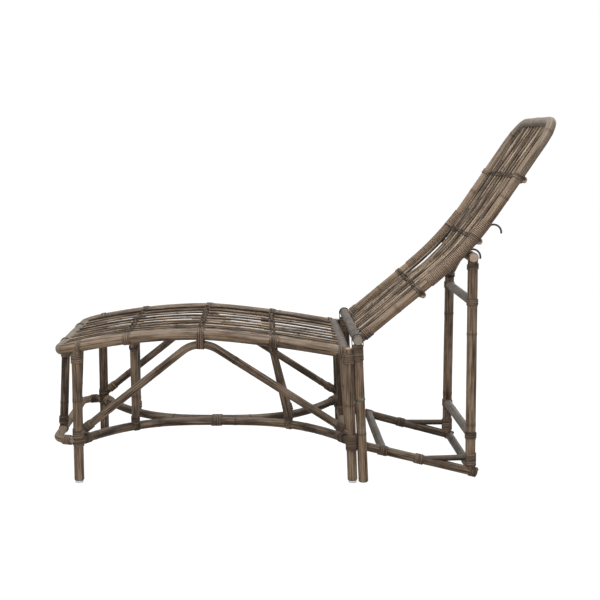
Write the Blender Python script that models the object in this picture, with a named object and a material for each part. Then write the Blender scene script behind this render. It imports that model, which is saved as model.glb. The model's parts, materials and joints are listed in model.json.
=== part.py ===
"""Folding rattan sun lounger: a bowed bench, a hinged backrest and a folding stand that props it.

+X runs from the foot end to the head end, +Y across, +Z up. Metres.
Every pole is swept along its own path, and its ends are scooped to seat on the poles that carry it.
"""

import math

import bmesh
import bpy
from mathutils import Matrix, Vector

# Bench: length, width and the bow of its side rails
SEAT_HALF_WIDTH = 0.270
SEAT_RAIL_D = 0.032
FOOT_RAIL_X = -0.593
FOOT_CORNER_R = 0.045
CREST_X = -0.172
CREST_Z = 0.456
FOOT_SPAN = 0.376
FOOT_DROP = 0.040
HEAD_SPAN = 0.452
HEAD_DROP = 0.058
HEAD_BOW_POWER = 1.4
REAR_RAIL_X = 0.266
REAR_RAIL_D = 0.029
REAR_RAIL_LIFT = 0.004

# Seat slats on their three cross rails
SEAT_CROSS_X = (-0.390, -0.170, 0.048)
SEAT_CROSS_D = 0.022
SEAT_CROSS_DROP = 0.004
SEAT_SLAT_COUNT = 11
SEAT_SLAT_D = 0.0075
SEAT_SLAT_EDGE = 0.019
SEAT_SLAT_CROWDING = 1.35
SLAT_SINK = 0.0026

# Legs, stretchers, posts and arched braces
LEG_D = 0.030
FOOT_LEG_X = -0.5385
HEAD_LEG_X = 0.274
HEAD_LEG_LEAN = 0.018
LEG_BAND_DROP = 0.030
GLIDE_D = 0.025
GLIDE_H = 0.008
STRETCHER_D = 0.027
STRETCHER_Z = 0.133
STRETCHER_DIP = 0.008
STRETCHER_POWER = 3.0
FOOT_LOOP_X = -0.607
FOOT_LOOP_R = 0.050
END_STRETCHER_D = 0.025
HEAD_STRETCHER_Z = 0.098
ARCH_D = 0.024
ARCH_FOOT_Z = 0.158
ARCH_APEX_X = -0.165
ARCH_APEX_R = 0.090
END_POST_D = 0.021
END_POST_Y = 0.135
SIDE_POST_D = 0.023
SIDE_POST_TOP_X = {"near": (-0.367, 0.046), "far": (-0.421, 0.022)}
SIDE_POST_FOOT_X = {"near": (-0.387, 0.104), "far": (-0.399, 0.110)}

# Back posts, fixed beside the head legs, with the hinge on their tops
BACK_POST_D = 0.030
BACK_POST_CLEAR = 0.0075
BACK_POST_LEAN = 0.024
HINGE_BEHIND_LEG = 0.0281
HINGE_ABOVE_LEG = 0.0249
HINGE_RAIL_D = 0.030
HINGE_RAIL_OVERHANG = 0.024
HINGE_WIRE_D = 0.003
HINGE_WIRE_LEG = 0.008

# Backrest: side rails bent from a lower to an upper slope
BACK_HALF_WIDTH = 0.225
BACK_RAIL_D = 0.029
BACK_START_DX = 0.013
BACK_START_DZ = -0.003
BACK_LOWER_DEG = 40.0
BACK_UPPER_DEG = 56.5
BACK_LOWER_LENGTH = 0.270
BACK_BEND_LENGTH = 0.280
BACK_UPPER_LENGTH = 0.321
BACK_CORNER_R = 0.085
BACK_CROSS_S = (0.227, 0.455, 0.676)
BACK_CROSS_D = 0.020
BACK_CROSS_OVERHANG = 0.002
BACK_CROSS_SINK = 0.006
BACK_SLAT_SHARES = (-0.83, -0.66, -0.48, -0.31, -0.14, 0.04, 0.21, 0.38, 0.53, 0.67, 0.83)
BACK_SLAT_D = 0.0105

# Wire hooks on the backrest and the cane wound round the side rails below them
HOOK_WIRE_D = 0.006
HOOK_SEAT_S = (0.4085, 0.5005)
HOOK_ROOM = 0.0055
HOOK_ARC_DEG = (-80.0, 62.0)
HOOK_SOCKET_DEG = -35.0
WRAP_TURNS = 20
WRAP_CANE_D = 0.0034
WRAP_PITCH = 0.0042
WRAP_END_GAP = 0.0195
WRAP_POINTS_PER_TURN = 10

# Stand
STAND_PIVOT_Z = 0.105
STAND_PIN_D = 0.008
STAND_RAIL_D = 0.027
STAND_RAIL_CLEAR = 0.0025
STAND_RAIL_NOSE = 0.016
STAND_FOOT_X = 0.680
STAND_HALF_WIDTH = 0.213
STAND_TOP_HALF_WIDTH = 0.200
STAND_POST_D = 0.031
STAND_POST_FOOT_X = 0.660
STAND_POST_TOP_SHIFT = 0.006
STAND_POLE_D = 0.030
STAND_POLE_OVERHANG = 0.021
STAND_RUNG_D = 0.025
STAND_RUNG_Z = (0.132, 0.545)
STAND_FRONT_BAR_X = 0.388
STAND_REAR_BAR_X = 0.668
STAND_BAR_D = 0.024
STAND_BRACE_D = 0.018
STAND_BRACE_RAIL_X = 0.500
STAND_BRACE_POST_Z = 0.062
STAND_DIAGONAL_D = 0.021
STAND_DIAGONAL_FOOT_RISE = 0.030
STAND_DIAGONAL_TOP_Y = -0.040

# Fits, bindings and how finely shapes are cut up
FIT = 0.0003
BORE_FIT = 0.0004
BAND_RAISE = 0.0016
BAND_LENGTH = 0.024
BAND_EDGE = 0.002
FLOOR_Z = 0.0
TRIM_REACH = 4.0
TRIM_DEPTH = 0.1
TRIM_SPARE = 0.004
WELD_DISTANCE = 0.00001
SHARP_DEG = 40.0
ROD_SIDES = 16
POLE_SIDES = 10
CANE_SIDES = 6
WIRE_SIDES = 8

CANE = (0.33, 0.26, 0.19)
CANE_GREY = (0.42, 0.38, 0.34)
HOOK_BLACK = (0.03, 0.03, 0.03)
WIRE_STEEL = (0.55, 0.55, 0.53)
GLIDE_WHITE = (0.86, 0.86, 0.84)

# Places that follow from those sizes
HINGE_X = HEAD_LEG_X + HINGE_BEHIND_LEG
HEAD_LEG_SHARE = (HEAD_LEG_X - CREST_X) / HEAD_SPAN
HEAD_LEG_TOP_Z = CREST_Z - HEAD_DROP * HEAD_LEG_SHARE**HEAD_BOW_POWER + SEAT_RAIL_D / 2
HINGE_Z = HEAD_LEG_TOP_Z + HINGE_ABOVE_LEG
BACK_POST_Y = BACK_HALF_WIDTH + BACK_RAIL_D / 2 + BACK_POST_CLEAR + BACK_POST_D / 2
HINGE_RAIL_HALF = BACK_POST_Y + HINGE_RAIL_OVERHANG
STAND_PIVOT_X = HINGE_X + BACK_POST_LEAN * (HINGE_Z - STAND_PIVOT_Z) / (HINGE_Z - FLOOR_Z)
STAND_RAIL_FRONT_Y = BACK_POST_Y - (BACK_POST_D + STAND_RAIL_D) / 2 - STAND_RAIL_CLEAR
STAND_POLE_HALF = BACK_HALF_WIDTH + STAND_POLE_OVERHANG

NEAR, FAR = -1, 1
SIDES = (("near", NEAR), ("far", FAR))

for old in list(bpy.data.objects):
    bpy.data.objects.remove(old, do_unlink=True)

parts = bpy.data.collections.new("rattan_sun_lounger")
cutters = bpy.data.collections.new("cutters")
for group in (parts, cutters):
    bpy.context.scene.collection.children.link(group)

sweeps = {}


def material(name, color, roughness, metallic=0.0):
    found = bpy.data.materials.new(name)
    found.use_nodes = True
    shader = found.node_tree.nodes["Principled BSDF"]
    shader.inputs["Base Color"].default_value = (*color, 1.0)
    shader.inputs["Roughness"].default_value = roughness
    shader.inputs["Metallic"].default_value = metallic
    return found


def body_empty(name, place, parent=None):
    empty = bpy.data.objects.new(name, None)
    parts.objects.link(empty)
    empty.location = place
    if parent:
        empty.parent = parent
    return empty


def settle(obj, parent, finish):
    """Gives a finished solid its own material and hangs it on its body's empty, where it lies."""
    shade = finish.copy()
    shade.name = obj.name
    obj.data.materials.clear()
    obj.data.materials.append(shade)
    obj.parent = parent
    bpy.context.view_layer.update()
    obj.matrix_parent_inverse = parent.matrix_world.inverted()


def stations(path, bands):
    """The path's own points with four more for each band: a step up and a step down in radius."""
    lengths = [0.0]
    for a, b in zip(path, path[1:]):
        lengths.append(lengths[-1] + (b - a).length)
    plain = lengths
    edges = []
    for centre, length in bands:
        low = centre - length / 2
        high = centre + length / 2
        plain = [s for s in plain if not low - BAND_EDGE <= s <= high + BAND_EDGE]
        edges += [(low - BAND_EDGE, 0), (low, 1), (high, 1), (high + BAND_EDGE, 0)]
    marks = [(s, 0) for s in plain] + edges
    found = []
    for s, raised in sorted(marks):
        place = min(max(s, 0.0), lengths[-1])
        i = 0
        while i < len(path) - 2 and lengths[i + 1] < place:
            i += 1
        t = (place - lengths[i]) / (lengths[i + 1] - lengths[i])
        found.append((path[i].lerp(path[i + 1], t), raised))
    return found


def sweep_mesh(name, path, diameter, sides, bands=()):
    """A round pole along a path, as a closed mesh with welded caps."""
    curve = bpy.data.curves.new(name, "CURVE")
    curve.dimensions = "3D"
    curve.bevel_depth = diameter / 2
    curve.bevel_resolution = sides // 2 - 2
    curve.use_fill_caps = True
    spline = curve.splines.new("POLY")
    points = stations(path, bands)
    spline.points.add(len(points) - 1)
    for point, (place, raised) in zip(spline.points, points):
        point.co = (*place, 1.0)
        point.radius = 1.0 + raised * BAND_RAISE / (diameter / 2)
    guide = bpy.data.objects.new(name + "_sweep", curve)
    bpy.context.scene.collection.objects.link(guide)
    bpy.context.view_layer.update()
    graph = bpy.context.evaluated_depsgraph_get()
    mesh = bpy.data.meshes.new_from_object(guide.evaluated_get(graph))
    bpy.data.objects.remove(guide, do_unlink=True)
    bpy.data.curves.remove(curve)
    weld(mesh)
    return mesh


def weld(mesh):
    work = bmesh.new()
    work.from_mesh(mesh)
    bmesh.ops.remove_doubles(work, verts=work.verts, dist=WELD_DISTANCE)
    bmesh.ops.recalc_face_normals(work, faces=work.faces)
    work.to_mesh(mesh)
    work.free()
    mesh.shade_smooth()
    mesh.set_sharp_from_angle(angle=math.radians(SHARP_DEG))


def pole(name, path, diameter, sides=12, bands=()):
    path = [Vector(p) for p in path]
    sweeps[name] = (path, diameter, sides, bands)
    obj = bpy.data.objects.new(name, sweep_mesh(name, path, diameter, sides, bands))
    parts.objects.link(obj)
    return obj


def cutter(name, mesh):
    obj = bpy.data.objects.new(name, mesh)
    cutters.objects.link(obj)
    obj.parent = lounger
    obj.hide_render = True
    obj.display_type = "WIRE"
    return obj


def boolean(obj, other, operation="DIFFERENCE"):
    cut = obj.modifiers.new(other.name, "BOOLEAN")
    cut.operation = operation
    cut.solver = "EXACT"
    cut.object = other


def scoop(obj, *carriers, gap=FIT):
    """Cuts an object back from each carrying pole, given by name, so that it seats on it with a small gap."""
    for carrier in carriers:
        path, diameter, sides, bands = sweeps[carrier]
        fat = "seat_on_" + carrier
        if fat not in bpy.data.objects:
            start = path[0] + (path[0] - path[1]).normalized() * gap
            end = path[-1] + (path[-1] - path[-2]).normalized() * gap
            longer = [start, *path[1:-1], end]
            moved = [(centre + gap, length) for centre, length in bands]
            cutter(fat, sweep_mesh(fat, longer, diameter + 2 * gap, sides, moved))
        boolean(obj, bpy.data.objects[fat])


def bore(obj, start, end, diameter):
    tool = cutter("bore_" + obj.name, sweep_mesh("bore", [Vector(start), Vector(end)], diameter, ROD_SIDES))
    boolean(obj, tool)


def trim_below(obj, z):
    """Cuts an object level at height z, so that it stands flat."""
    name = f"below_{round(1000 * z)}"
    if name not in bpy.data.objects:
        work = bmesh.new()
        size = Vector((TRIM_REACH, TRIM_REACH, TRIM_DEPTH))
        place = Matrix.Translation((0, 0, z - TRIM_DEPTH / 2))
        bmesh.ops.create_cube(work, size=1.0, matrix=place @ Matrix.Diagonal((*size, 1.0)))
        mesh = bpy.data.meshes.new(name)
        work.to_mesh(mesh)
        work.free()
        cutter(name, mesh)
    boolean(obj, bpy.data.objects[name])


def joined(name, objects):
    """Several loose shapes in one object, for a Boolean union with what carries them."""
    work = bmesh.new()
    for obj in objects:
        work.from_mesh(obj.data)
        bpy.data.objects.remove(obj, do_unlink=True)
    mesh = bpy.data.meshes.new(name)
    work.to_mesh(mesh)
    work.free()
    mesh.shade_smooth()
    mesh.set_sharp_from_angle(angle=math.radians(SHARP_DEG))
    return mesh


def steps(low, high, count):
    return [low + (high - low) * i / count for i in range(count + 1)]


def corner(centre, radius, start_deg, end_deg, count, z):
    return [
        (centre[0] + radius * math.cos(math.radians(a)), centre[1] + radius * math.sin(math.radians(a)), z)
        for a in steps(start_deg, end_deg, count)
    ]


def seat_z(x):
    """Height of the seat rails' centre line: a bow that falls away more evenly towards the head end."""
    if x < CREST_X:
        return CREST_Z - FOOT_DROP * ((CREST_X - x) / FOOT_SPAN) ** 2
    return CREST_Z - HEAD_DROP * ((x - CREST_X) / HEAD_SPAN) ** HEAD_BOW_POWER


rattan = material("rattan", CANE, 0.62)
grey_rattan = material("grey_rattan", CANE_GREY, 0.66)
black_wire = material("black_wire", HOOK_BLACK, 0.45, 1.0)
steel_wire = material("steel_wire", WIRE_STEEL, 0.4, 1.0)
white_plastic = material("white_plastic", GLIDE_WHITE, 0.5)

lounger = body_empty("lounger", (0, 0, 0))
bench = body_empty("bench", (0, 0, 0), lounger)
backrest = body_empty("backrest", (HINGE_X, 0, HINGE_Z), lounger)
stand = body_empty("stand", (STAND_PIVOT_X, 0, STAND_PIVOT_Z), lounger)


# Seat frame: one pole bent into a U, with its two ends at the head
corner_x = FOOT_RAIL_X + FOOT_CORNER_R
corner_y = SEAT_HALF_WIDTH - FOOT_CORNER_R
foot_rail_z = seat_z(FOOT_RAIL_X)
arm_end_x = HEAD_LEG_X - LEG_D / 4
near_arm = [(x, -SEAT_HALF_WIDTH, seat_z(x)) for x in steps(arm_end_x, corner_x, 11)]
near_bend = [
    (x, y, seat_z(x)) for x, y, _ in corner((corner_x, -corner_y), FOOT_CORNER_R, 270, 180, 4, foot_rail_z)
]
half_frame = near_arm + near_bend[1:]
seat_frame_path = half_frame + [(x, -y, z) for x, y, z in reversed(half_frame)]
frame_length = sum((Vector(b) - Vector(a)).length for a, b in zip(seat_frame_path, seat_frame_path[1:]))
arm_bands = [arm_end_x - x for x in SEAT_CROSS_X]
frame_bands = [(s, BAND_LENGTH) for s in arm_bands] + [(frame_length - s, BAND_LENGTH) for s in arm_bands]
seat_frame = pole("seat_frame", seat_frame_path, SEAT_RAIL_D, bands=frame_bands)
settle(seat_frame, bench, rattan)

rear_rail_z = seat_z(REAR_RAIL_X) + REAR_RAIL_LIFT
rail_reach = SEAT_HALF_WIDTH - SEAT_RAIL_D / 4
rear_rail = pole(
    "seat_rear_rail",
    [(REAR_RAIL_X, -rail_reach, rear_rail_z), (REAR_RAIL_X, rail_reach, rear_rail_z)],
    REAR_RAIL_D,
)
scoop(rear_rail, "seat_frame")
settle(rear_rail, bench, grey_rattan)

# Seat deck: thin canes laid lengthwise on three cross rails and lashed to them, closer on the near side
cross_rails = []
for number, x in enumerate(SEAT_CROSS_X):
    z = seat_z(x) - SEAT_CROSS_DROP
    path = [(x, -rail_reach, z), (x, rail_reach, z)]
    cross_rails.append(pole(f"seat_cross_{number}", path, SEAT_CROSS_D, POLE_SIDES))
slat_lift = (SEAT_CROSS_D + SEAT_SLAT_D) / 2 - SEAT_CROSS_DROP - SLAT_SINK
slat_reach = SEAT_HALF_WIDTH - SEAT_RAIL_D / 2 - SEAT_SLAT_EDGE
slats = []
for number, share in enumerate(steps(0.0, 1.0, SEAT_SLAT_COUNT - 1)):
    y = slat_reach * (2 * share**SEAT_SLAT_CROWDING - 1)
    ends = (FOOT_RAIL_X + SEAT_RAIL_D / 4, REAR_RAIL_X - REAR_RAIL_D / 4)
    path = [(x, y, seat_z(x) + slat_lift) for x in steps(*ends, 9)]
    slats.append(pole(f"seat_slat_{number}", path, SEAT_SLAT_D, CANE_SIDES))
seat_deck = bpy.data.objects.new("seat_slat_deck", joined("seat_slat_deck", slats))
parts.objects.link(seat_deck)
boolean(seat_deck, cutter("seat_cross_rails", joined("seat_cross_rails", cross_rails)), "UNION")
scoop(seat_deck, "seat_frame", "seat_rear_rail")
settle(seat_deck, bench, rattan)


# Legs with their glides: the foot pair carries the rails, and the rails butt against the head pair
def leg_path(x, lean, side, top_z):
    foot_z = FLOOR_Z + GLIDE_H + FIT - TRIM_SPARE
    return [(x + lean, side * SEAT_HALF_WIDTH, foot_z), (x, side * SEAT_HALF_WIDTH, top_z)]


for end, x, lean, top_z in (
    ("foot", FOOT_LEG_X, 0.0, seat_z(FOOT_LEG_X) - SEAT_RAIL_D / 4),
    ("head", HEAD_LEG_X, HEAD_LEG_LEAN, HEAD_LEG_TOP_Z),
):
    for label, side in SIDES:
        path = leg_path(x, lean, side, top_z)
        height = path[1][2] - path[0][2]
        bands = [(height - LEG_BAND_DROP, BAND_LENGTH)] if end == "foot" else []
        leg = pole(f"leg_{end}_{label}", path, LEG_D, bands=bands)
        if end == "foot":
            scoop(leg, "seat_frame")
        else:
            scoop(seat_frame, leg.name)
            scoop(rear_rail, leg.name)
        trim_below(leg, FLOOR_Z + GLIDE_H + FIT)
        settle(leg, bench, rattan)
        base = (x + lean, side * SEAT_HALF_WIDTH, FLOOR_Z)
        glide = pole(f"glide_{end}_{label}", [base, (base[0], base[1], GLIDE_H)], GLIDE_D, ROD_SIDES)
        settle(glide, bench, white_plastic)


def head_leg_x(z):
    return HEAD_LEG_X + HEAD_LEG_LEAN * (HEAD_LEG_TOP_Z - z) / (HEAD_LEG_TOP_Z - GLIDE_H)


# Arched braces: one bent pole a side, from leg to leg, touching the rail at its crest
arch_top_z = seat_z(ARCH_APEX_X) - SEAT_RAIL_D / 2 - ARCH_D / 2 - BAND_RAISE - FIT
for label, side in SIDES:
    y = side * SEAT_HALF_WIDTH
    feet = (FOOT_LEG_X + LEG_D / 4, head_leg_x(ARCH_FOOT_Z) - LEG_D / 4)
    rise = arch_top_z - ARCH_FOOT_Z
    slopes = [math.atan2(rise, abs(ARCH_APEX_X - x) - ARCH_APEX_R / 3) for x in feet]
    centre_z = arch_top_z - ARCH_APEX_R
    bend = [
        (ARCH_APEX_X - ARCH_APEX_R * math.sin(a), y, centre_z + ARCH_APEX_R * math.cos(a))
        for a in steps(slopes[0], -slopes[1], 8)
    ]
    path = [(feet[0], y, ARCH_FOOT_Z), *bend, (feet[1], y, ARCH_FOOT_Z)]
    arch = pole(f"arch_brace_{label}", path, ARCH_D, POLE_SIDES)
    scoop(arch, f"leg_foot_{label}", f"leg_head_{label}")
    settle(arch, bench, rattan)

# Side stretchers: each bows inwards, and the pair meets at mid length
stretcher_ends = (FOOT_LEG_X + LEG_D / 4, head_leg_x(STRETCHER_Z) - LEG_D / 4)
stretcher_mid = sum(stretcher_ends) / 2
stretcher_half = (stretcher_ends[1] - stretcher_ends[0]) / 2
stretcher_touch = STRETCHER_D / 2 + FIT


def stretcher_point(x):
    inward = 1 - min(abs(x - stretcher_mid) / stretcher_half, 1.0) ** STRETCHER_POWER
    y = SEAT_HALF_WIDTH + (stretcher_touch - SEAT_HALF_WIDTH) * inward
    return y, STRETCHER_Z - STRETCHER_DIP * inward


for label, side in SIDES:
    path = [(x, side * stretcher_point(x)[0], stretcher_point(x)[1]) for x in steps(*stretcher_ends, 18)]
    stretcher = pole(f"side_stretcher_{label}", path, STRETCHER_D, POLE_SIDES)
    scoop(stretcher, f"leg_foot_{label}", f"leg_head_{label}")
    settle(stretcher, bench, rattan)

# Foot stretcher: a loop that stands out past the foot legs
loop_centre = (FOOT_LOOP_X + FOOT_LOOP_R, SEAT_HALF_WIDTH - FOOT_LOOP_R)
loop_bend = corner(loop_centre, FOOT_LOOP_R, 90, 180, 5, STRETCHER_Z)
half_loop = [(FOOT_LEG_X - LEG_D / 4, SEAT_HALF_WIDTH, STRETCHER_Z), *loop_bend[1:]]
foot_loop_path = half_loop + [(x, -y, z) for x, y, z in reversed(half_loop)]
foot_stretcher = pole("foot_stretcher", foot_loop_path, END_STRETCHER_D, POLE_SIDES)
scoop(foot_stretcher, "leg_foot_near", "leg_foot_far")
settle(foot_stretcher, bench, rattan)

head_reach = SEAT_HALF_WIDTH - LEG_D / 4
head_stretcher_x = head_leg_x(HEAD_STRETCHER_Z)
head_stretcher = pole(
    "head_stretcher",
    [(head_stretcher_x, -head_reach, HEAD_STRETCHER_Z), (head_stretcher_x, head_reach, HEAD_STRETCHER_Z)],
    END_STRETCHER_D,
    POLE_SIDES,
)
scoop(head_stretcher, "leg_head_near", "leg_head_far")
settle(head_stretcher, bench, rattan)

# Posts that stand on the stretchers and carry the rails
for label, side in SIDES:
    y = side * END_POST_Y
    foot_z = STRETCHER_Z + END_STRETCHER_D / 4
    top_z = foot_rail_z - SEAT_RAIL_D / 4
    foot_post = pole(
        f"foot_post_{label}", [(FOOT_LOOP_X, y, foot_z), (FOOT_RAIL_X, y, top_z)], END_POST_D, POLE_SIDES
    )
    scoop(foot_post, "foot_stretcher", "seat_frame")
    settle(foot_post, bench, rattan)
    head_post = pole(
        f"head_post_{label}",
        [
            (head_stretcher_x, y, HEAD_STRETCHER_Z + END_STRETCHER_D / 4),
            (REAR_RAIL_X, y, rear_rail_z - REAR_RAIL_D / 4),
        ],
        END_POST_D,
        POLE_SIDES,
    )
    scoop(head_post, "head_stretcher", "seat_rear_rail")
    settle(head_post, bench, rattan)
    for end, top_x, foot_x, cross_rail in zip(
        ("foot", "head"), SIDE_POST_TOP_X[label], SIDE_POST_FOOT_X[label], ("seat_cross_0", "seat_cross_2")
    ):
        foot_y, stretcher_z = stretcher_point(foot_x)
        path = [
            (foot_x, side * foot_y, stretcher_z + STRETCHER_D / 4),
            (top_x, side * SEAT_HALF_WIDTH, seat_z(top_x) - SEAT_RAIL_D / 4),
        ]
        side_post = pole(f"side_post_{end}_{label}", path, SIDE_POST_D, POLE_SIDES)
        scoop(side_post, f"side_stretcher_{label}", "seat_frame", cross_rail)
        settle(side_post, bench, rattan)


# Back posts beside the head legs, the hinge rail on their tops and the wire staples that hold it
post_top_z = HINGE_Z - HINGE_RAIL_D / 2 - FIT
post_lean = Vector((-BACK_POST_LEAN, 0, HINGE_Z - FLOOR_Z)).normalized()
hinge_rail = pole(
    "hinge_rail",
    [(HINGE_X, -HINGE_RAIL_HALF, HINGE_Z), (HINGE_X, HINGE_RAIL_HALF, HINGE_Z)],
    HINGE_RAIL_D,
    ROD_SIDES,
)
settle(hinge_rail, backrest, grey_rattan)
staple_r = (max(HINGE_RAIL_D, BACK_POST_D) + HINGE_WIRE_D) / 2 + FIT
for label, side in SIDES:
    y = side * BACK_POST_Y
    hinge_at = Vector((HINGE_X, y, HINGE_Z))
    drops = (HINGE_Z - FLOOR_Z + TRIM_SPARE, HINGE_Z - post_top_z)
    path = [hinge_at - post_lean * (drop / post_lean.z) for drop in drops]
    band_at = post_top_z - HINGE_WIRE_LEG - LEG_BAND_DROP
    post = pole(f"back_post_{label}", path, BACK_POST_D, bands=[(band_at, BAND_LENGTH)])
    pin_reach = (side * (BACK_POST_Y + BACK_POST_D / 4), side * (STAND_RAIL_FRONT_Y - STAND_RAIL_D / 2))
    pin_path = [(STAND_PIVOT_X, pin_reach[0], STAND_PIVOT_Z), (STAND_PIVOT_X, pin_reach[1], STAND_PIVOT_Z)]
    bore_end = (STAND_PIVOT_X, side * (BACK_POST_Y - BACK_POST_D), STAND_PIVOT_Z)
    bore_start = (STAND_PIVOT_X, pin_reach[0] + side * FIT, STAND_PIVOT_Z)
    bore(post, bore_start, bore_end, STAND_PIN_D + 2 * BORE_FIT)
    trim_below(post, FLOOR_Z)
    settle(post, bench, rattan)
    pin = pole(f"stand_pin_{label}", pin_path, STAND_PIN_D, ROD_SIDES)
    settle(pin, bench, steel_wire)
    arc = [
        Vector((HINGE_X + staple_r * math.cos(a), y, HINGE_Z + staple_r * math.sin(a)))
        for a in steps(math.pi, 0.0, 10)
    ]
    leg_drop = HINGE_RAIL_D / 2 + HINGE_WIRE_LEG
    path = [arc[0] - post_lean * leg_drop, *arc, arc[-1] - post_lean * leg_drop]
    staple = pole(f"hinge_staple_{label}", path, HINGE_WIRE_D, WIRE_SIDES)
    settle(staple, bench, steel_wire)


# Backrest centre line: a lower straight, a bend and an upper straight
def back_frame_at(s):
    """Point, slope direction and outward (rearward) normal of the side rails at length s."""
    low = math.radians(BACK_LOWER_DEG)
    high = math.radians(BACK_UPPER_DEG)
    bend_r = BACK_BEND_LENGTH / (high - low)
    point = Vector((HINGE_X + BACK_START_DX, 0, HINGE_Z + BACK_START_DZ))
    point += Vector((math.cos(low), 0, math.sin(low))) * min(s, BACK_LOWER_LENGTH)
    bent = min(max(s - BACK_LOWER_LENGTH, 0.0), BACK_BEND_LENGTH)
    angle = low + bent / bend_r
    turn_in = Vector((math.sin(angle) - math.sin(low), 0, math.cos(low) - math.cos(angle)))
    point += turn_in * bend_r
    slope = Vector((math.cos(angle), 0, math.sin(angle)))
    point += slope * max(s - BACK_LOWER_LENGTH - BACK_BEND_LENGTH, 0.0)
    return point, slope, Vector((slope.z, 0, -slope.x))


def back_point(s, y=0.0, behind=0.0):
    point, _, normal = back_frame_at(s)
    return point + normal * behind + Vector((0, y, 0))


back_length = BACK_LOWER_LENGTH + BACK_BEND_LENGTH + BACK_UPPER_LENGTH
arm_stations = [0.0, *steps(BACK_LOWER_LENGTH, BACK_LOWER_LENGTH + BACK_BEND_LENGTH, 5)]
corner_start = back_length - BACK_CORNER_R
half_back = [back_point(s, -BACK_HALF_WIDTH) for s in arm_stations]
for a in steps(0.0, math.pi / 2, 5):
    s = corner_start + BACK_CORNER_R * math.sin(a)
    half_back.append(back_point(s, -BACK_HALF_WIDTH + BACK_CORNER_R * (1 - math.cos(a))))
back_path = half_back + [Vector((p.x, -p.y, p.z)) for p in reversed(half_back)]
back_frame = pole("back_frame", back_path, BACK_RAIL_D)
scoop(back_frame, "hinge_rail")
settle(back_frame, backrest, rattan)

# Back panel: slats on three cross rails that are let into the side rails from behind
back_cross_behind = (BACK_RAIL_D + BACK_CROSS_D) / 2 - BACK_CROSS_SINK
back_cross_reach = BACK_HALF_WIDTH + BACK_CROSS_OVERHANG
cross_rails = []
for number, s in enumerate(BACK_CROSS_S):
    ends = [back_point(s, y, back_cross_behind) for y in (-back_cross_reach, back_cross_reach)]
    cross_rails.append(pole(f"back_cross_{number}", ends, BACK_CROSS_D, POLE_SIDES))
slat_behind = back_cross_behind - (BACK_CROSS_D + BACK_SLAT_D) / 2 + SLAT_SINK
slats = []
for number, share in enumerate(BACK_SLAT_SHARES):
    y = share * BACK_HALF_WIDTH
    top_s = back_length
    inset = abs(y) - (BACK_HALF_WIDTH - BACK_CORNER_R)
    if inset > 0:
        top_s = corner_start + math.sqrt(BACK_CORNER_R**2 - inset**2)
    path = [back_point(s, y, slat_behind) for s in (0.0, *arm_stations[1:], top_s)]
    slats.append(pole(f"back_slat_{number}", path, BACK_SLAT_D, CANE_SIDES))
back_panel = bpy.data.objects.new("back_slat_panel", joined("back_slat_panel", slats))
parts.objects.link(back_panel)
boolean(back_panel, cutter("back_cross_rails", joined("back_cross_rails", cross_rails)), "UNION")
scoop(back_panel, "back_frame", "hinge_rail")
settle(back_panel, backrest, rattan)

# Hooks: two a side, screwed into the side rail from behind; the stand's top pole lies in the lower pair
hook_r = STAND_POLE_D / 2 + HOOK_ROOM + HOOK_WIRE_D / 2
wrap_r = ((BACK_RAIL_D + WRAP_CANE_D) / 2 + FIT) / math.cos(math.pi / WRAP_POINTS_PER_TURN)
hook_seat_behind = wrap_r + WRAP_CANE_D / 2 + STAND_POLE_D / 2 + FIT
for label, side in SIDES:
    y = side * BACK_HALF_WIDTH
    for level, seat_s in zip(("lower", "upper"), HOOK_SEAT_S):
        centre, slope, normal = back_frame_at(seat_s)
        centre = centre + normal * hook_seat_behind + Vector((0, y, 0))
        angles = [math.radians(a) for a in steps(*HOOK_ARC_DEG, 10)]
        path = [centre + (slope * math.cos(a) + normal * math.sin(a)) * hook_r for a in angles]
        hook = pole(f"hook_{level}_{label}", path, HOOK_WIRE_D, WIRE_SIDES)
        settle(hook, backrest, black_wire)
        inside = [point for point, a in zip(path, angles) if a < math.radians(HOOK_SOCKET_DEG)]
        start = path[0] + (path[0] - path[1]).normalized() * FIT
        socket = sweep_mesh("socket", [start, *inside], HOOK_WIRE_D + 2 * BORE_FIT, WIRE_SIDES)
        boolean(back_frame, cutter(f"socket_{level}_{label}", socket))

# Cane wound round each side rail below the lower hook, one unbroken strand a side
wrap_end_s = HOOK_SEAT_S[0] + hook_r - WRAP_END_GAP
wrap_start_s = wrap_end_s - WRAP_TURNS * WRAP_PITCH
for label, side in SIDES:
    path = []
    for i in range(WRAP_TURNS * WRAP_POINTS_PER_TURN + 1):
        turn = i / WRAP_POINTS_PER_TURN
        point, _, normal = back_frame_at(wrap_start_s + turn * WRAP_PITCH)
        a = 2 * math.pi * turn
        round_rail = Vector((0, side, 0)) * math.cos(a) - normal * math.sin(a)
        path.append(point + Vector((0, side * BACK_HALF_WIDTH, 0)) + round_rail * wrap_r)
    half_turn = WRAP_POINTS_PER_TURN // 2
    apart = min((a - b).length for i, a in enumerate(path) for b in path[i + half_turn :])
    print(f"hook_wrap_{label}: least gap to itself {1000 * (apart - WRAP_CANE_D):.2f} mm")
    wrap = pole(f"hook_wrap_{label}", path, WRAP_CANE_D, CANE_SIDES)
    settle(wrap, backrest, rattan)


# Stand: a rigid frame pinned to the back posts, with its top pole in the lower hooks
pole_point, _, pole_normal = back_frame_at(HOOK_SEAT_S[0])
pole_at = pole_point + pole_normal * hook_seat_behind
rail_end_z = FLOOR_Z + STAND_RAIL_D / 2 + FIT
rail_slope = (rail_end_z - STAND_PIVOT_Z) / (STAND_FOOT_X - STAND_PIVOT_X)
rail_taper = (STAND_HALF_WIDTH - STAND_RAIL_FRONT_Y) / (STAND_FOOT_X - STAND_PIVOT_X)


def rail_point(x, side):
    along = x - STAND_PIVOT_X
    return (x, side * (STAND_RAIL_FRONT_Y + rail_taper * along), STAND_PIVOT_Z + rail_slope * along)


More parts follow.
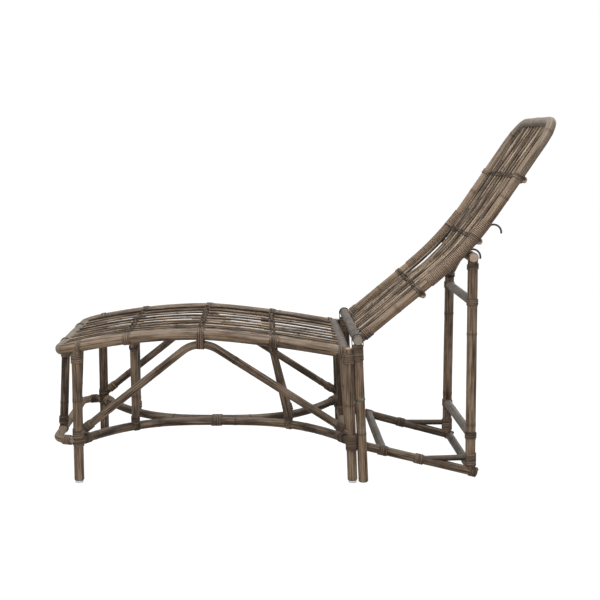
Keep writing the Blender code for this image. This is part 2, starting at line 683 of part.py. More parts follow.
def post_point(z, side):
    foot = Vector(rail_point(STAND_POST_FOOT_X, side))
    top = Vector((pole_at.x + STAND_POST_TOP_SHIFT, side * STAND_TOP_HALF_WIDTH, pole_at.z))
    return foot.lerp(top, (z - foot.z) / (top.z - foot.z))


top_pole = pole(
    "stand_top_pole",
    [(pole_at.x, -STAND_POLE_HALF, pole_at.z), (pole_at.x, STAND_POLE_HALF, pole_at.z)],
    STAND_POLE_D,
    ROD_SIDES,
)
settle(top_pole, stand, rattan)
for label, side in SIDES:
    path = [rail_point(STAND_PIVOT_X - STAND_RAIL_NOSE, side), rail_point(STAND_FOOT_X, side)]
    rail = pole(f"stand_rail_{label}", path, STAND_RAIL_D)
    bore_ends = [
        (STAND_PIVOT_X, side * (STAND_RAIL_FRONT_Y + offset * STAND_RAIL_D), STAND_PIVOT_Z)
        for offset in (-1, 1)
    ]
    bore(rail, *bore_ends, STAND_PIN_D + 2 * BORE_FIT)
    settle(rail, stand, rattan)
    foot_z = rail_point(STAND_POST_FOOT_X, side)[2] + STAND_RAIL_D / 4
    path = [post_point(foot_z, side), post_point(pole_at.z - STAND_POLE_D / 4, side)]
    bands = [(z - foot_z, BAND_LENGTH) for z in (STAND_BRACE_POST_Z + BAND_LENGTH, *STAND_RUNG_Z)]
    post = pole(f"stand_post_{label}", path, STAND_POST_D, bands=bands)
    scoop(post, f"stand_rail_{label}", "stand_top_pole")
    settle(post, stand, rattan)

into_post = Vector((0, STAND_POST_D / 4, 0))
for level, z in zip(("lower", "upper"), STAND_RUNG_Z):
    path = [post_point(z, NEAR) + into_post, post_point(z, FAR) - into_post]
    rung = pole(f"stand_{level}_rung", path, STAND_RUNG_D, POLE_SIDES)
    scoop(rung, "stand_post_near", "stand_post_far")
    settle(rung, stand, grey_rattan)
for place, x in (("front", STAND_FRONT_BAR_X), ("rear", STAND_REAR_BAR_X)):
    _, rail_y, z = rail_point(x, 1)
    reach = rail_y - STAND_RAIL_D / 4
    bar = pole(f"stand_{place}_bar", [(x, -reach, z), (x, reach, z)], STAND_BAR_D, POLE_SIDES)
    scoop(bar, "stand_rail_near", "stand_rail_far", "stand_post_near", "stand_post_far")
    settle(bar, stand, grey_rattan)
for label, side in SIDES:
    start = Vector(rail_point(STAND_BRACE_RAIL_X, side))
    end = post_point(STAND_BRACE_POST_Z, side) - Vector((STAND_POST_D / 4, 0, 0))
    brace = pole(f"stand_brace_{label}", [start, end], STAND_BRACE_D, POLE_SIDES)
    scoop(brace, f"stand_rail_{label}", f"stand_post_{label}")
    settle(brace, stand, rattan)
diagonal_foot_z = STAND_RUNG_Z[1] + STAND_DIAGONAL_FOOT_RISE
diagonal = pole(
    "stand_diagonal",
    [
        post_point(diagonal_foot_z, FAR) - into_post,
        (pole_at.x, STAND_DIAGONAL_TOP_Y, pole_at.z - STAND_POLE_D / 4),
    ],
    STAND_DIAGONAL_D,
    POLE_SIDES,
)
scoop(diagonal, "stand_post_far", "stand_upper_rung", "stand_top_pole")
settle(diagonal, stand, rattan)

# The origin goes under the middle of the whole length
reach = (
    FOOT_LOOP_X - END_STRETCHER_D / 2,
    back_point(back_length).x + BACK_RAIL_D / 2,
)
lounger.location.x = -sum(reach) / 2
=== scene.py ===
"""Folding rattan sun lounger: weathered cane poles, split-cane windings, lashed slats and wire hooks.

Lengths are in metres, +Z up. Places along the object run from the foot to the head, and the hinge line of the
backrest lies at 0.3021.
"""

import json
import math

import bpy
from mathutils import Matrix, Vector


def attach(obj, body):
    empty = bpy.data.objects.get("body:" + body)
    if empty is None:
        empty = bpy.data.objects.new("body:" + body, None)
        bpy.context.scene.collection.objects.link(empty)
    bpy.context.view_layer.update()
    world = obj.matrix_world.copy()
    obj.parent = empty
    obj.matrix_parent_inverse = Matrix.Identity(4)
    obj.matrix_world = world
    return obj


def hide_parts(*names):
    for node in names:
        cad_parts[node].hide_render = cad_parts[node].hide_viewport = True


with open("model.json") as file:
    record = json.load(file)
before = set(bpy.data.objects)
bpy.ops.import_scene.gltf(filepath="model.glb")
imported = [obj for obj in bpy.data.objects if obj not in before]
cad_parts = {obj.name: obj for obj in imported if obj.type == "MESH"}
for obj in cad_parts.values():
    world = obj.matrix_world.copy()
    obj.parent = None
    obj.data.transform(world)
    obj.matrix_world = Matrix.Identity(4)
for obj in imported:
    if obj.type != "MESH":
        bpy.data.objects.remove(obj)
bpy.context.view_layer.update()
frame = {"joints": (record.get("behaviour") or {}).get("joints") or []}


# Seat frame and rear rail
# The seat frame is one stout rattan pole, steamed and bent into a U whose side rails bow upwards.
# A greyer pole closes its open end. Poles have faint growth rings, are never quite straight, and grey on top.
joints = {joint["name"]: joint for joint in frame["joints"]}
hinge = Vector(joints["back_fold"]["pos_m"])
HINGE_X = 0.3021
SEAT_HALF_WIDTH = 0.270
SEAT_RAIL_D = 0.032
FOOT_RAIL_X = -0.593
FOOT_CORNER_R = 0.045
SEAT_RAIL_END_X = 0.2665
CREST_X = -0.172
CREST_Z = 0.456
FOOT_BOW = (0.376, 0.040, 2.0)
HEAD_BOW = (0.452, 0.058, 1.4)
REAR_RAIL_X = 0.266
REAR_RAIL_D = 0.029
REAR_RAIL_LIFT = 0.004
REAR_RAIL_TONE = 0.70
FOOT_RAIL_FADE = 1.3
FOOT_FADE_INSET = 0.015

# A pole on the far side has its drawn tone scaled down by this: painted shade.
FAR_PAINTED_SHADE = 0.4
CANE_STEP = 0.006
CANE_END_STEPS = (0.0008, 0.0025)
POLE_SIDES = 20
POLE_SWELL = 0.05
POLE_CROOK = 0.0012
RING_SPACING = 0.23
RING_RISE = 0.055
GRAIN_SHIFT = 11.0
TONE_STEP = 0.618034
RAIL_STEPS = 60


def steps(low, high, count):
    """Evenly spaced values from low to high, one more than count."""
    return [low + (high - low) * i / count for i in range(count + 1)]


def at(x, y, z):
    """A point given by its places along, across, and above the floor."""
    return Vector((hinge.x - HINGE_X + x, y, z))


def seat_z(x):
    """Height of the seat rails' centre line."""
    span, drop, power = FOOT_BOW if x < CREST_X else HEAD_BOW
    return CREST_Z - drop * (abs(x - CREST_X) / span) ** power


def level_pole(x, reach, z):
    """The two ends of a level pole across the object."""
    return [at(x, -reach, z), at(x, reach, z)]


def mirrored(half):
    """A bent pole from one half of it: the same points, and then their mirror images."""
    return half + [Vector((p.x, -p.y, p.z)) for p in reversed(half)]


def fine(path):
    """The same line with even points, and closer ones at its two ends, where a pole is rounded off."""
    lengths = [0.0]
    for a, b in zip(path, path[1:]):
        lengths.append(lengths[-1] + (b - a).length)
    total = lengths[-1]
    marks = steps(0.0, total, max(2, round(total / CANE_STEP)))[1:-1]
    marks = [s for s in marks if CANE_END_STEPS[-1] < s < total - CANE_END_STEPS[-1]]
    marks += [0.0, total, *CANE_END_STEPS, *[total - s for s in CANE_END_STEPS]]
    found = []
    i = 0
    for s in sorted(marks):
        while i < len(path) - 2 and lengths[i + 1] < s:
            i += 1
        t = (s - lengths[i]) / (lengths[i + 1] - lengths[i])
        found.append(path[i].lerp(path[i + 1], t))
    return found


def add(tree, kind, inputs=None, **settings):
    """A node with its settings and inputs; an input is a value or another node's output."""
    node = tree.nodes.new(kind)
    for key, value in settings.items():
        setattr(node, key, value)
    for key, value in (inputs or {}).items():
        if isinstance(value, bpy.types.NodeSocket):
            tree.links.new(value, node.inputs[key])
        else:
            node.inputs[key].default_value = value
    return node


def sums(tree, operation, a, b=0.0, c=0.0):
    """The output of a math node."""
    return add(tree, "ShaderNodeMath", {0: a, 1: b, 2: c}, operation=operation).outputs[0]


def eased(tree, value, low, high, to_low, to_high):
    """Eases from one value to another while the input goes from low to high."""
    inputs = {"Value": value, "From Min": low, "From Max": high, "To Min": to_low, "To Max": to_high}
    return add(tree, "ShaderNodeMapRange", inputs, interpolation_type="SMOOTHSTEP").outputs[0]


def new_tree(name, kind, inputs, outputs):
    """A node group with named sockets, and its input and output nodes."""
    tree = bpy.data.node_groups.new(name, kind)
    for label, socket in inputs:
        tree.interface.new_socket(label, in_out="INPUT", socket_type="NodeSocket" + socket)
    for label, socket in outputs:
        tree.interface.new_socket(label, in_out="OUTPUT", socket_type="NodeSocket" + socket)
    return tree, tree.nodes.new("NodeGroupInput").outputs, tree.nodes.new("NodeGroupOutput").inputs


def keep(tree, geometry, name, value, data_type="FLOAT", domain="POINT"):
    """The geometry with a value stored on it under a name."""
    inputs = {"Geometry": geometry, "Name": name, "Value": value}
    return add(tree, "GeometryNodeStoreNamedAttribute", inputs, data_type=data_type, domain=domain).outputs[0]


def named(tree, name, data_type="FLOAT"):
    """A value that is stored on the geometry under a name."""
    return add(tree, "GeometryNodeInputNamedAttribute", {"Name": name}, data_type=data_type).outputs[0]


def dressed(tree, mesh, finish, output):
    """The last nodes of a cane tree: surface coordinates, upward faces, cut ends and the finish."""
    side_face_corners = 4
    along = add(tree, "ShaderNodeCombineXYZ", {"Z": named(tree, "along")}).outputs[0]
    section = named(tree, "section", "FLOAT_VECTOR")
    place = add(tree, "ShaderNodeVectorMath", {0: section, 1: along}, operation="ADD").outputs[0]
    mesh = keep(tree, mesh, "cane", place, "FLOAT_VECTOR")
    normal = add(tree, "GeometryNodeInputNormal").outputs[0]
    mesh = keep(tree, mesh, "sky", add(tree, "ShaderNodeSeparateXYZ", {0: normal}).outputs["Z"])
    corners = add(tree, "GeometryNodeInputMeshFaceNeighbors").outputs["Vertex Count"]
    mesh = keep(tree, mesh, "cut", sums(tree, "GREATER_THAN", corners, side_face_corners), domain="FACE")
    mesh = add(tree, "GeometryNodeSetShadeSmooth", {0: mesh}).outputs[0]
    mesh = add(tree, "GeometryNodeRealizeInstances", {0: mesh}).outputs[0]
    mesh = add(tree, "GeometryNodeSetMaterial", {0: mesh, "Material": finish}).outputs[0]
    tree.links.new(mesh, output)


def cane_pole_tree():
    """A pole of round cane along each chain of points, a little uneven, with rings and rounded ends."""
    ring_width = 0.007
    end_share = 0.86
    crook_scale = 4.5
    swell_scale = 8.0
    swell_shift = 37.0
    inputs = [("Path", "Geometry"), ("Diameter", "Float"), ("Sides", "Int"), ("Ring Spacing", "Float")]
    inputs += [("Ring Shift", "Float"), ("Ring Rise", "Float"), ("Swell", "Float"), ("Crook", "Float")]
    inputs += [("Finish", "Material")]
    tree, given, result = new_tree("cane_pole", "GeometryNodeTree", inputs, [("Cane", "Geometry")])
    tone = named(tree, "tone")
    curve = add(tree, "GeometryNodeMeshToCurve", {0: given["Path"]}).outputs[0]
    place = add(tree, "GeometryNodeInputPosition").outputs[0]
    inputs = {"Vector": place, "W": tone, "Scale": crook_scale}
    bend = add(tree, "ShaderNodeTexNoise", inputs, noise_dimensions="4D").outputs["Color"]
    bend = add(tree, "ShaderNodeVectorMath", {0: bend, 1: (0.5, 0.5, 0.5)}, operation="SUBTRACT").outputs[0]
    inputs = {0: bend, "Scale": given["Crook"]}
    bend = add(tree, "ShaderNodeVectorMath", inputs, operation="SCALE").outputs[0]
    curve = add(tree, "GeometryNodeSetPosition", {0: curve, "Offset": bend}).outputs[0]
    length = add(tree, "GeometryNodeSplineParameter").outputs["Length"]
    total = add(tree, "GeometryNodeSplineLength").outputs["Length"]
    shifted = sums(tree, "MULTIPLY_ADD", tone, given["Ring Spacing"], length)
    shifted = sums(tree, "ADD", shifted, given["Ring Shift"])
    from_ring = sums(tree, "MODULO", shifted, given["Ring Spacing"])
    half = sums(tree, "MULTIPLY", given["Ring Spacing"], 0.5)
    from_ring = sums(tree, "ABSOLUTE", sums(tree, "SUBTRACT", from_ring, half))
    ring = eased(tree, from_ring, 0.0, ring_width, 1.0, 0.0)
    inputs = {"W": sums(tree, "MULTIPLY_ADD", tone, swell_shift, length), "Scale": swell_scale}
    wave = add(tree, "ShaderNodeTexNoise", inputs, noise_dimensions="1D").outputs[0]
    swell = sums(tree, "MULTIPLY", sums(tree, "SUBTRACT", wave, 0.5), given["Swell"])
    girth = sums(tree, "ADD", sums(tree, "MULTIPLY_ADD", ring, given["Ring Rise"], swell), 1.0)
    from_end = sums(tree, "MINIMUM", length, sums(tree, "SUBTRACT", total, length))
    girth = sums(tree, "MULTIPLY", girth, eased(tree, from_end, 0.0, CANE_END_STEPS[-1], end_share, 1.0))
    curve = keep(tree, curve, "along", sums(tree, "MULTIPLY_ADD", tone, GRAIN_SHIFT, length))
    curve = keep(tree, curve, "ring", ring)
    radius = sums(tree, "MULTIPLY", given["Diameter"], 0.5)
    circle = add(tree, "GeometryNodeCurvePrimitiveCircle", {"Resolution": given["Sides"], "Radius": radius})
    around = add(tree, "GeometryNodeInputPosition").outputs[0]
    circle = keep(tree, circle.outputs[0], "section", around, "FLOAT_VECTOR")
    swept = add(tree, "GeometryNodeCurveToMesh", {0: curve, 1: circle, "Scale": girth, "Fill Caps": True})
    dressed(tree, swept.outputs[0], given["Finish"], result[0])
    return tree


def shown(name, data):
    """A new object in the scene."""
    obj = bpy.data.objects.new(name, data)
    bpy.context.scene.collection.objects.link(obj)
    return obj


def grown(name, tree, chains, values, fade=None):
    """Grows a node tree along chains, (points, outward directions or None, tone), into a plain mesh.

    fade gives how far the cane has faded to grey at a point.
    """
    path = bpy.data.meshes.new(name + "_path")
    points = []
    edges = []
    outs = []
    tones = []
    for chain, out, tone in chains:
        edges += [(len(points) + i, len(points) + i + 1) for i in range(len(chain) - 1)]
        points += chain
        outs += out or [Vector((0, 0, 1))] * len(chain)
        tones += [tone] * len(chain)
    path.from_pydata(points, edges, [])
    flat_outs = [value for out in outs for value in out]
    path.attributes.new("out", "FLOAT_VECTOR", "POINT").data.foreach_set("vector", flat_outs)
    path.attributes.new("tone", "FLOAT", "POINT").data.foreach_set("value", tones)
    fades = [fade(point) if fade else 0.0 for point in points]
    path.attributes.new("fade", "FLOAT", "POINT").data.foreach_set("value", fades)
    guide = shown(name + "_path", path)
    grow = guide.modifiers.new("grow", "NODES")
    grow.node_group = tree
    sockets = {item.name: item.identifier for item in tree.interface.items_tree if item.in_out == "INPUT"}
    for label, value in values.items():
        grow[sockets[label]] = value
    graph = bpy.context.evaluated_depsgraph_get()
    mesh = bpy.data.meshes.new_from_object(guide.evaluated_get(graph))
    mesh.name = name
    bpy.data.objects.remove(guide)
    bpy.data.meshes.remove(path)
    return shown(name, mesh)


def mixed(tree, share, a, b):
    """A mix of two colours, each a value or another node's output."""
    return add(tree, "ShaderNodeMix", {"Factor": share, 6: a, 7: b}, data_type="RGBA").outputs[2]


def weathered_cane_group():
    """Colour, roughness and height of aged cane.

    Fibres, blotches, rings and pores mark it, tops go grey; painted shade darkens sides and strand edges.
    """
    fibre_weight = 2.5
    hair_weight = 2.8
    blotch_weight = 1.5
    tone_weight = 0.8
    mid_range = (3.20, 3.85)
    pale_range = (3.70, 4.50)
    sky_weight = 0.45
    blotch_grey = 0.9
    grey_range = (0.42, 1.05)
    painted_side_shade_range = (-0.3, 0.65)
    pore_range = (0.68, 0.76)
    pore_share = 0.35
    ring_share = 0.6
    vessel_range = (0.48, 0.64)
    vessel_share = 0.5
    strand_edge_shade_black = 0.35
    strand_edge_shade_share = 0.85
    floats = ("Tone", "Ring", "Cut", "Sky", "Fade", "Edge", "Greying", "Painted Side Shade")
    inputs = [("Cane", "Vector")]
    inputs += [(label, "Float") for label in floats]
    inputs += [(label, "Color") for label in ("Dark", "Mid", "Pale", "Grey", "Face")]
    outputs = [("Color", "Color"), ("Roughness", "Float"), ("Height", "Float")]
    tree, given, result = new_tree("weathered_cane", "ShaderNodeTree", inputs, outputs)

    def noise(stretch, detail, rough=0.55):
        inputs = {0: given["Cane"], 1: stretch}
        place = add(tree, "ShaderNodeVectorMath", inputs, operation="MULTIPLY").outputs[0]
        inputs = {"Vector": place, "Scale": 1.0, "Detail": detail, "Roughness": rough}
        return add(tree, "ShaderNodeTexNoise", inputs).outputs["Fac"]

    fibre = noise((170.0, 170.0, 7.0), 4.0, 0.66)
    hair = noise((340.0, 340.0, 9.0), 2.0)
    blotch = noise((34.0, 34.0, 13.0), 3.0)
    pore = noise((420.0, 420.0, 60.0), 1.0)
    share = sums(tree, "MULTIPLY_ADD", fibre, fibre_weight, sums(tree, "MULTIPLY", hair, hair_weight))
    share = sums(tree, "MULTIPLY_ADD", blotch, blotch_weight, share)
    share = sums(tree, "MULTIPLY_ADD", given["Tone"], tone_weight, share)
    low = eased(tree, share, *mid_range, 0.0, 1.0)
    high = eased(tree, share, *pale_range, 0.0, 1.0)
    color = mixed(tree, low, given["Dark"], given["Mid"])
    color = mixed(tree, high, color, given["Pale"])
    blotched = sums(tree, "MULTIPLY", blotch, blotch_grey)
    grey_share = sums(tree, "MULTIPLY_ADD", given["Sky"], sky_weight, blotched)
    grey_share = sums(tree, "MULTIPLY", eased(tree, grey_share, *grey_range, 0.0, 1.0), given["Greying"])
    grey_share = sums(tree, "MAXIMUM", grey_share, sums(tree, "MULTIPLY", given["Fade"], fibre))
    color = mixed(tree, grey_share, color, given["Grey"])
    # Painted shade: sides and undersides darken as the surface turns away from the sky.
    painted_side_shade = sums(tree, "MULTIPLY", eased(tree, given["Sky"], *painted_side_shade_range, 1.0, 0.0), given["Painted Side Shade"])
    color = mixed(tree, painted_side_shade, color, given["Dark"])
    pores = eased(tree, pore, *pore_range, 0.0, pore_share)
    color = mixed(tree, pores, color, given["Dark"])
    color = mixed(tree, sums(tree, "MULTIPLY", given["Ring"], ring_share), color, given["Dark"])
    vessels = eased(tree, noise((900.0, 900.0, 1.0), 1.0), *vessel_range, 0.0, vessel_share)
    color = mixed(tree, given["Cut"], color, mixed(tree, vessels, given["Face"], given["Mid"]))
    # Painted shade along the edges of each strand of split cane, where it meets the next turn.
    strand_edge_shade = mixed(tree, strand_edge_shade_black, (0, 0, 0, 1), given["Dark"])
    color = mixed(tree, sums(tree, "MULTIPLY", given["Edge"], strand_edge_shade_share), color, strand_edge_shade)
    tree.links.new(color, result["Color"])
    tree.links.new(sums(tree, "MULTIPLY_ADD", fibre, -0.22, 0.72), result["Roughness"])
    height = sums(tree, "MULTIPLY_ADD", fibre, 0.7, sums(tree, "MULTIPLY", hair, 0.5))
    tree.links.new(sums(tree, "SUBTRACT", height, pores), result["Height"])
    return tree


weathered_cane = weathered_cane_group()


def new_finish(name):
    """A material, its node tree and its Principled shader."""
    finish = bpy.data.materials.new(name)
    finish.use_nodes = True
    return finish, finish.node_tree, finish.node_tree.nodes["Principled BSDF"]


def cane_finish(name, dark, mid, pale, grey, greying, face=None, painted_side_shade=0.0, relief=0.0006):
    """A cane material: the weathering group on a Principled shader, with a low relief.

    face is a cut end's colour; the argument after it sets the painted shade on the sides and undersides.
    """
    finish, tree, shader = new_finish(name)
    look = tree.nodes.new("ShaderNodeGroup")
    look.node_tree = weathered_cane
    colors = {"Dark": dark, "Mid": mid, "Pale": pale, "Grey": grey, "Face": face or pale}
    for label, color in colors.items():
        look.inputs[label].default_value = (*color, 1)
    look.inputs["Greying"].default_value = greying
    look.inputs["Painted Side Shade"].default_value = painted_side_shade
    for label, attribute, output in (
        ("Cane", "cane", "Vector"),
        ("Tone", "tone", "Fac"),
        ("Ring", "ring", "Fac"),
        ("Cut", "cut", "Fac"),
        ("Sky", "sky", "Fac"),
        ("Fade", "fade", "Fac"),
        ("Edge", "edge", "Fac"),
    ):
        source = add(tree, "ShaderNodeAttribute", attribute_name=attribute)
        tree.links.new(source.outputs[output], look.inputs[label])
    tree.links.new(look.outputs["Color"], shader.inputs["Base Color"])
    tree.links.new(look.outputs["Roughness"], shader.inputs["Roughness"])
    inputs = {"Height": look.outputs["Height"], "Distance": relief, "Strength": 0.8}
    bump = add(tree, "ShaderNodeBump", inputs)
    tree.links.new(bump.outputs[0], shader.inputs["Normal"])
    shader.inputs["Specular IOR Level"].default_value = 0.15
    return finish


rattan = cane_finish(
    "weathered_rattan",
    dark=(0.030, 0.020, 0.014),
    mid=(0.107, 0.072, 0.047),
    pale=(0.245, 0.171, 0.114),
    grey=(0.200, 0.174, 0.146),
    greying=0.42,
    face=(0.420, 0.315, 0.235),
)
grey_rattan = cane_finish(
    "grey_rattan",
    dark=(0.038, 0.031, 0.025),
    mid=(0.086, 0.071, 0.059),
    pale=(0.154, 0.131, 0.110),
    grey=(0.134, 0.117, 0.100),
    greying=0.50,
    face=(0.270, 0.230, 0.180),
)
cane_pole = cane_pole_tree()
tone_count = 0


def next_tone():
    """A different shade and grain for each pole, in a fixed order."""
    global tone_count
    tone_count += 1
    return (tone_count * TONE_STEP) % 1.0


def pole(
    node,
    path,
    diameter,
    body,
    finish=rattan,
    rings=RING_SPACING,
    ring_at=None,
    tone=None,
    crook=POLE_CROOK,
    fade=None,
):
    """One pole of cane in place of the CAD node of that name.

    tone sets its shade, from 0 for dark to 1 for pale or a little past either. ring_at is a growth ring's
    distance from its start, crook how far the pole strays from its line, and fade a function that gives its
    greyness at a point.
    """
    # On the far side the drawn tone is lowered, painted shade.
    drawn = next_tone() * (FAR_PAINTED_SHADE if node.endswith("_far") else 1.0)
    tone = drawn if tone is None else tone
    values = {"Diameter": diameter, "Sides": POLE_SIDES, "Ring Spacing": rings, "Ring Rise": RING_RISE}
    # The tree draws a ring half a spacing past every whole spacing, counted from the pole's own tone.
    values["Ring Shift"] = 0.0 if ring_at is None else rings * (1.5 - tone) - ring_at
    values |= {"Swell": POLE_SWELL, "Crook": crook, "Finish": finish}
    piece = grown("cane_" + node, cane_pole, [(fine(path), None, tone)], values, fade)
    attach(piece, body)
    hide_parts(node)
    return piece


def foot_fade(point):
    """The foot rail and its bends have faded to grey."""
    return FOOT_RAIL_FADE if abs(point.y) < SEAT_HALF_WIDTH - FOOT_FADE_INSET else 0.0


corner_x = FOOT_RAIL_X + FOOT_CORNER_R
corner_y = SEAT_HALF_WIDTH - FOOT_CORNER_R
half_frame = [at(x, -SEAT_HALF_WIDTH, seat_z(x)) for x in steps(SEAT_RAIL_END_X, corner_x, RAIL_STEPS)]
for turn in steps(0.0, math.pi / 2, 10)[1:]:
    x = corner_x - FOOT_CORNER_R * math.sin(turn)
    half_frame.append(at(x, -corner_y - FOOT_CORNER_R * math.cos(turn), seat_z(x)))
seat_path = mirrored(half_frame)
pole("seat_frame", seat_path, SEAT_RAIL_D, "bench", fade=foot_fade)
rear_rail_z = seat_z(REAR_RAIL_X) + REAR_RAIL_LIFT
rail_reach = SEAT_HALF_WIDTH - SEAT_RAIL_D / 4
rear_ends = level_pole(REAR_RAIL_X, rail_reach, rear_rail_z)
pole("seat_rear_rail", rear_ends, REAR_RAIL_D, "bench", grey_rattan, tone=REAR_RAIL_TONE)


# Seat deck
# Thin canes run lengthwise over three cross rails and are lashed to each of them with dark cane.
# Their colours differ from cane to cane, and they follow the bow of the side rails.
SEAT_CROSS_X = (-0.390, -0.170, 0.048)
SEAT_CROSS_D = 0.022
SEAT_CROSS_DROP = 0.004
SEAT_SLAT_COUNT = 11
SEAT_SLAT_D = 0.0075
SEAT_SLAT_REACH = 0.235
SEAT_SLAT_CROWDING = 1.35
SLAT_SINK = 0.0026

slat_cane = cane_finish(
    "slat_cane",
    dark=(0.016, 0.011, 0.008),
    mid=(0.116, 0.082, 0.054),
    pale=(0.396, 0.290, 0.203),
    grey=(0.270, 0.236, 0.204),
    greying=0.30,
    # Painted shade on the slats' sides and undersides.
    painted_side_shade=0.60,
)


def slat_deck(node, slats, slat_d, rails, rail_d, body):
    """Slats and the cross rails under them, two pieces in place of the CAD node of that name."""
    values = {"Ring Spacing": 0.19, "Ring Rise": 0.10, "Swell": 0.14, "Crook": 0.004, "Finish": slat_cane}
    canes = [(fine(path), None, next_tone()) for path in slats]
    deck = grown("cane_" + node, cane_pole, canes, {**values, "Diameter": slat_d, "Sides": 12})
    values |= {"Crook": POLE_CROOK, "Swell": POLE_SWELL, "Ring Rise": 0.05, "Finish": rattan}
    canes = [(fine(path), None, next_tone()) for path in rails]
    cross = grown("cane_" + node + "_rails", cane_pole, canes, {**values, "Diameter": rail_d, "Sides": 16})
    for piece in (deck, cross):
        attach(piece, body)
    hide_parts(node)


seat_rails = [level_pole(x, rail_reach, seat_z(x) - SEAT_CROSS_DROP) for x in SEAT_CROSS_X]
slat_lift = (SEAT_CROSS_D + SEAT_SLAT_D) / 2 - SEAT_CROSS_DROP - SLAT_SINK
slat_shares = steps(0.0, 1.0, SEAT_SLAT_COUNT - 1)
seat_slat_y = [SEAT_SLAT_REACH * (2 * share**SEAT_SLAT_CROWDING - 1) for share in slat_shares]
slat_ends = (FOOT_RAIL_X + SEAT_RAIL_D / 4, REAR_RAIL_X - REAR_RAIL_D / 4)
seat_slats = [[at(x, y, seat_z(x) + slat_lift) for x in steps(*slat_ends, 40)] for y in seat_slat_y]
slat_deck("seat_slat_deck", seat_slats, SEAT_SLAT_D, seat_rails, SEAT_CROSS_D, "bench")


# Legs and glides
# Four straight poles carry the corners of the seat, the head pair leaning a little.
# Each stands on a white plastic glide, a low cap with a rounded rim.
LEG_D = 0.030
FOOT_LEG_X = -0.5385
HEAD_LEG_X = 0.274
HEAD_LEG_LEAN = 0.018
GLIDE_D = 0.025
GLIDE_H = 0.008
GLIDE_RIM_R = 0.003
GLIDE_TOP_EDGE = 0.001
# Near legs get paler tones, painted light, and far legs darker ones, painted shade.
LEG_PAINTED_LIGHT_TONES = {("foot", "near"): 0.70, ("head", "near"): 0.75, ("foot", "far"): 0.25, ("head", "far"): 0.1}
SIDES = (("near", -1), ("far", 1))

head_top_z = seat_z(HEAD_LEG_X) + SEAT_RAIL_D / 2


def head_leg_x(z):
    """Place along the object of a head leg's centre line, at height z."""
    return HEAD_LEG_X + HEAD_LEG_LEAN * (head_top_z - z) / (head_top_z - GLIDE_H)


def plain_finish(name, color, roughness, metallic=0.0, mottle=0.25, grain=90.0, relief=0.0002):
    """A smooth material with a faint mottle in its colour, gloss and surface."""
    gloss_spread = 0.25
    finish, tree, shader = new_finish(name)
    place = add(tree, "ShaderNodeTexCoord").outputs["Object"]
    speckle = add(tree, "ShaderNodeTexNoise", {"Vector": place, "Scale": grain, "Detail": 4.0}).outputs["Fac"]
    dull = tuple(c * (1 - mottle) for c in color)
    tree.links.new(mixed(tree, speckle, (*dull, 1), (*color, 1)), shader.inputs["Base Color"])
    gloss = sums(tree, "MULTIPLY_ADD", speckle, gloss_spread, roughness - gloss_spread / 2)
    tree.links.new(gloss, shader.inputs["Roughness"])
    bump = add(tree, "ShaderNodeBump", {"Height": speckle, "Distance": relief, "Strength": 0.5})
    tree.links.new(bump.outputs[0], shader.inputs["Normal"])
    shader.inputs["Metallic"].default_value = metallic
    return finish


def turned(name, profile, centre, count=40):
    """A turned piece about a vertical axis, from its half outline (radius, height)."""
    points = []
    for radius, z in profile:
        for i in range(count):
            a = 2 * math.pi * i / count
            points.append((centre.x + radius * math.cos(a), centre.y + radius * math.sin(a), centre.z + z))
    faces = []
    for row in range(len(profile) - 1):
        for i in range(count):
            j = (i + 1) % count
            low = row * count
            faces.append((low + i, low + j, low + count + j, low + count + i))
    faces.append(tuple(reversed(range(count))))
    faces.append(tuple(range((len(profile) - 1) * count, len(profile) * count)))
    mesh = bpy.data.meshes.new(name)
    mesh.from_pydata(points, [], faces)
    mesh.shade_smooth()
    mesh.set_sharp_from_angle(angle=math.radians(50))
    return shown(name, mesh)


white_plastic = plain_finish("glide_plastic", (0.80, 0.80, 0.78), 0.5, mottle=0.10)
legs = {}
for end, x, lean, top_z in (
    ("foot", FOOT_LEG_X, 0.0, seat_z(FOOT_LEG_X) - SEAT_RAIL_D / 4),
    ("head", HEAD_LEG_X, HEAD_LEG_LEAN, head_top_z),
):
    for label, side in SIDES:
        y = side * SEAT_HALF_WIDTH
        legs[end, label] = [at(x + lean, y, GLIDE_H), at(x, y, top_z)]
        pole(f"leg_{end}_{label}", legs[end, label], LEG_D, "bench", rings=0.31, tone=LEG_PAINTED_LIGHT_TONES[end, label])
        rim = [
            (GLIDE_D / 2 - GLIDE_RIM_R * (1 - math.sin(a)), GLIDE_RIM_R * (1 - math.cos(a)))
            for a in steps(0.0, math.pi / 2, 6)
        ]
        outline = rim + [(GLIDE_D / 2, GLIDE_H - GLIDE_TOP_EDGE), (GLIDE_D / 2 - GLIDE_TOP_EDGE, GLIDE_H)]
        glide = turned(f"cap_glide_{end}_{label}", outline, at(x + lean, y, 0.0))
        glide.data.materials.append(white_plastic)
        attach(glide, "bench")
        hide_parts(f"glide_{end}_{label}")


# Braces, stretchers and posts of the bench
# Each side has a pole bent into an arch that touches the rail at its crest, and a stretcher that bows inwards
# until the two meet. Slimmer posts stand on the stretchers. All ends are coped and bound with split cane.
ARCH_D = 0.024
ARCH_FOOT_Z = 0.158
ARCH_APEX_X = -0.165
ARCH_APEX_R = 0.090
ARCH_CLEAR = 0.0019
# The far arch gets a darker tone, painted shade.
ARCH_TONES_FAR_SHADED = {"near": 0.38, "far": 0.12}
STRETCHER_D = 0.027
STRETCHER_Z = 0.133
STRETCHER_DIP = 0.008
STRETCHER_POWER = 3.0
STRETCHER_MEET = 0.0138
FOOT_LOOP_X = -0.607
FOOT_LOOP_R = 0.050
END_STRETCHER_D = 0.025
HEAD_STRETCHER_Z = 0.098
FOOT_POST_D = 0.026
HEAD_POST_D = 0.021
END_POST_Y = 0.135
SIDE_POST_D = 0.023
SIDE_POST_TOP_X = {"near": (-0.367, 0.046), "far": (-0.421, 0.022)}
SIDE_POST_FOOT_X = {"near": (-0.387, 0.104), "far": (-0.399, 0.110)}

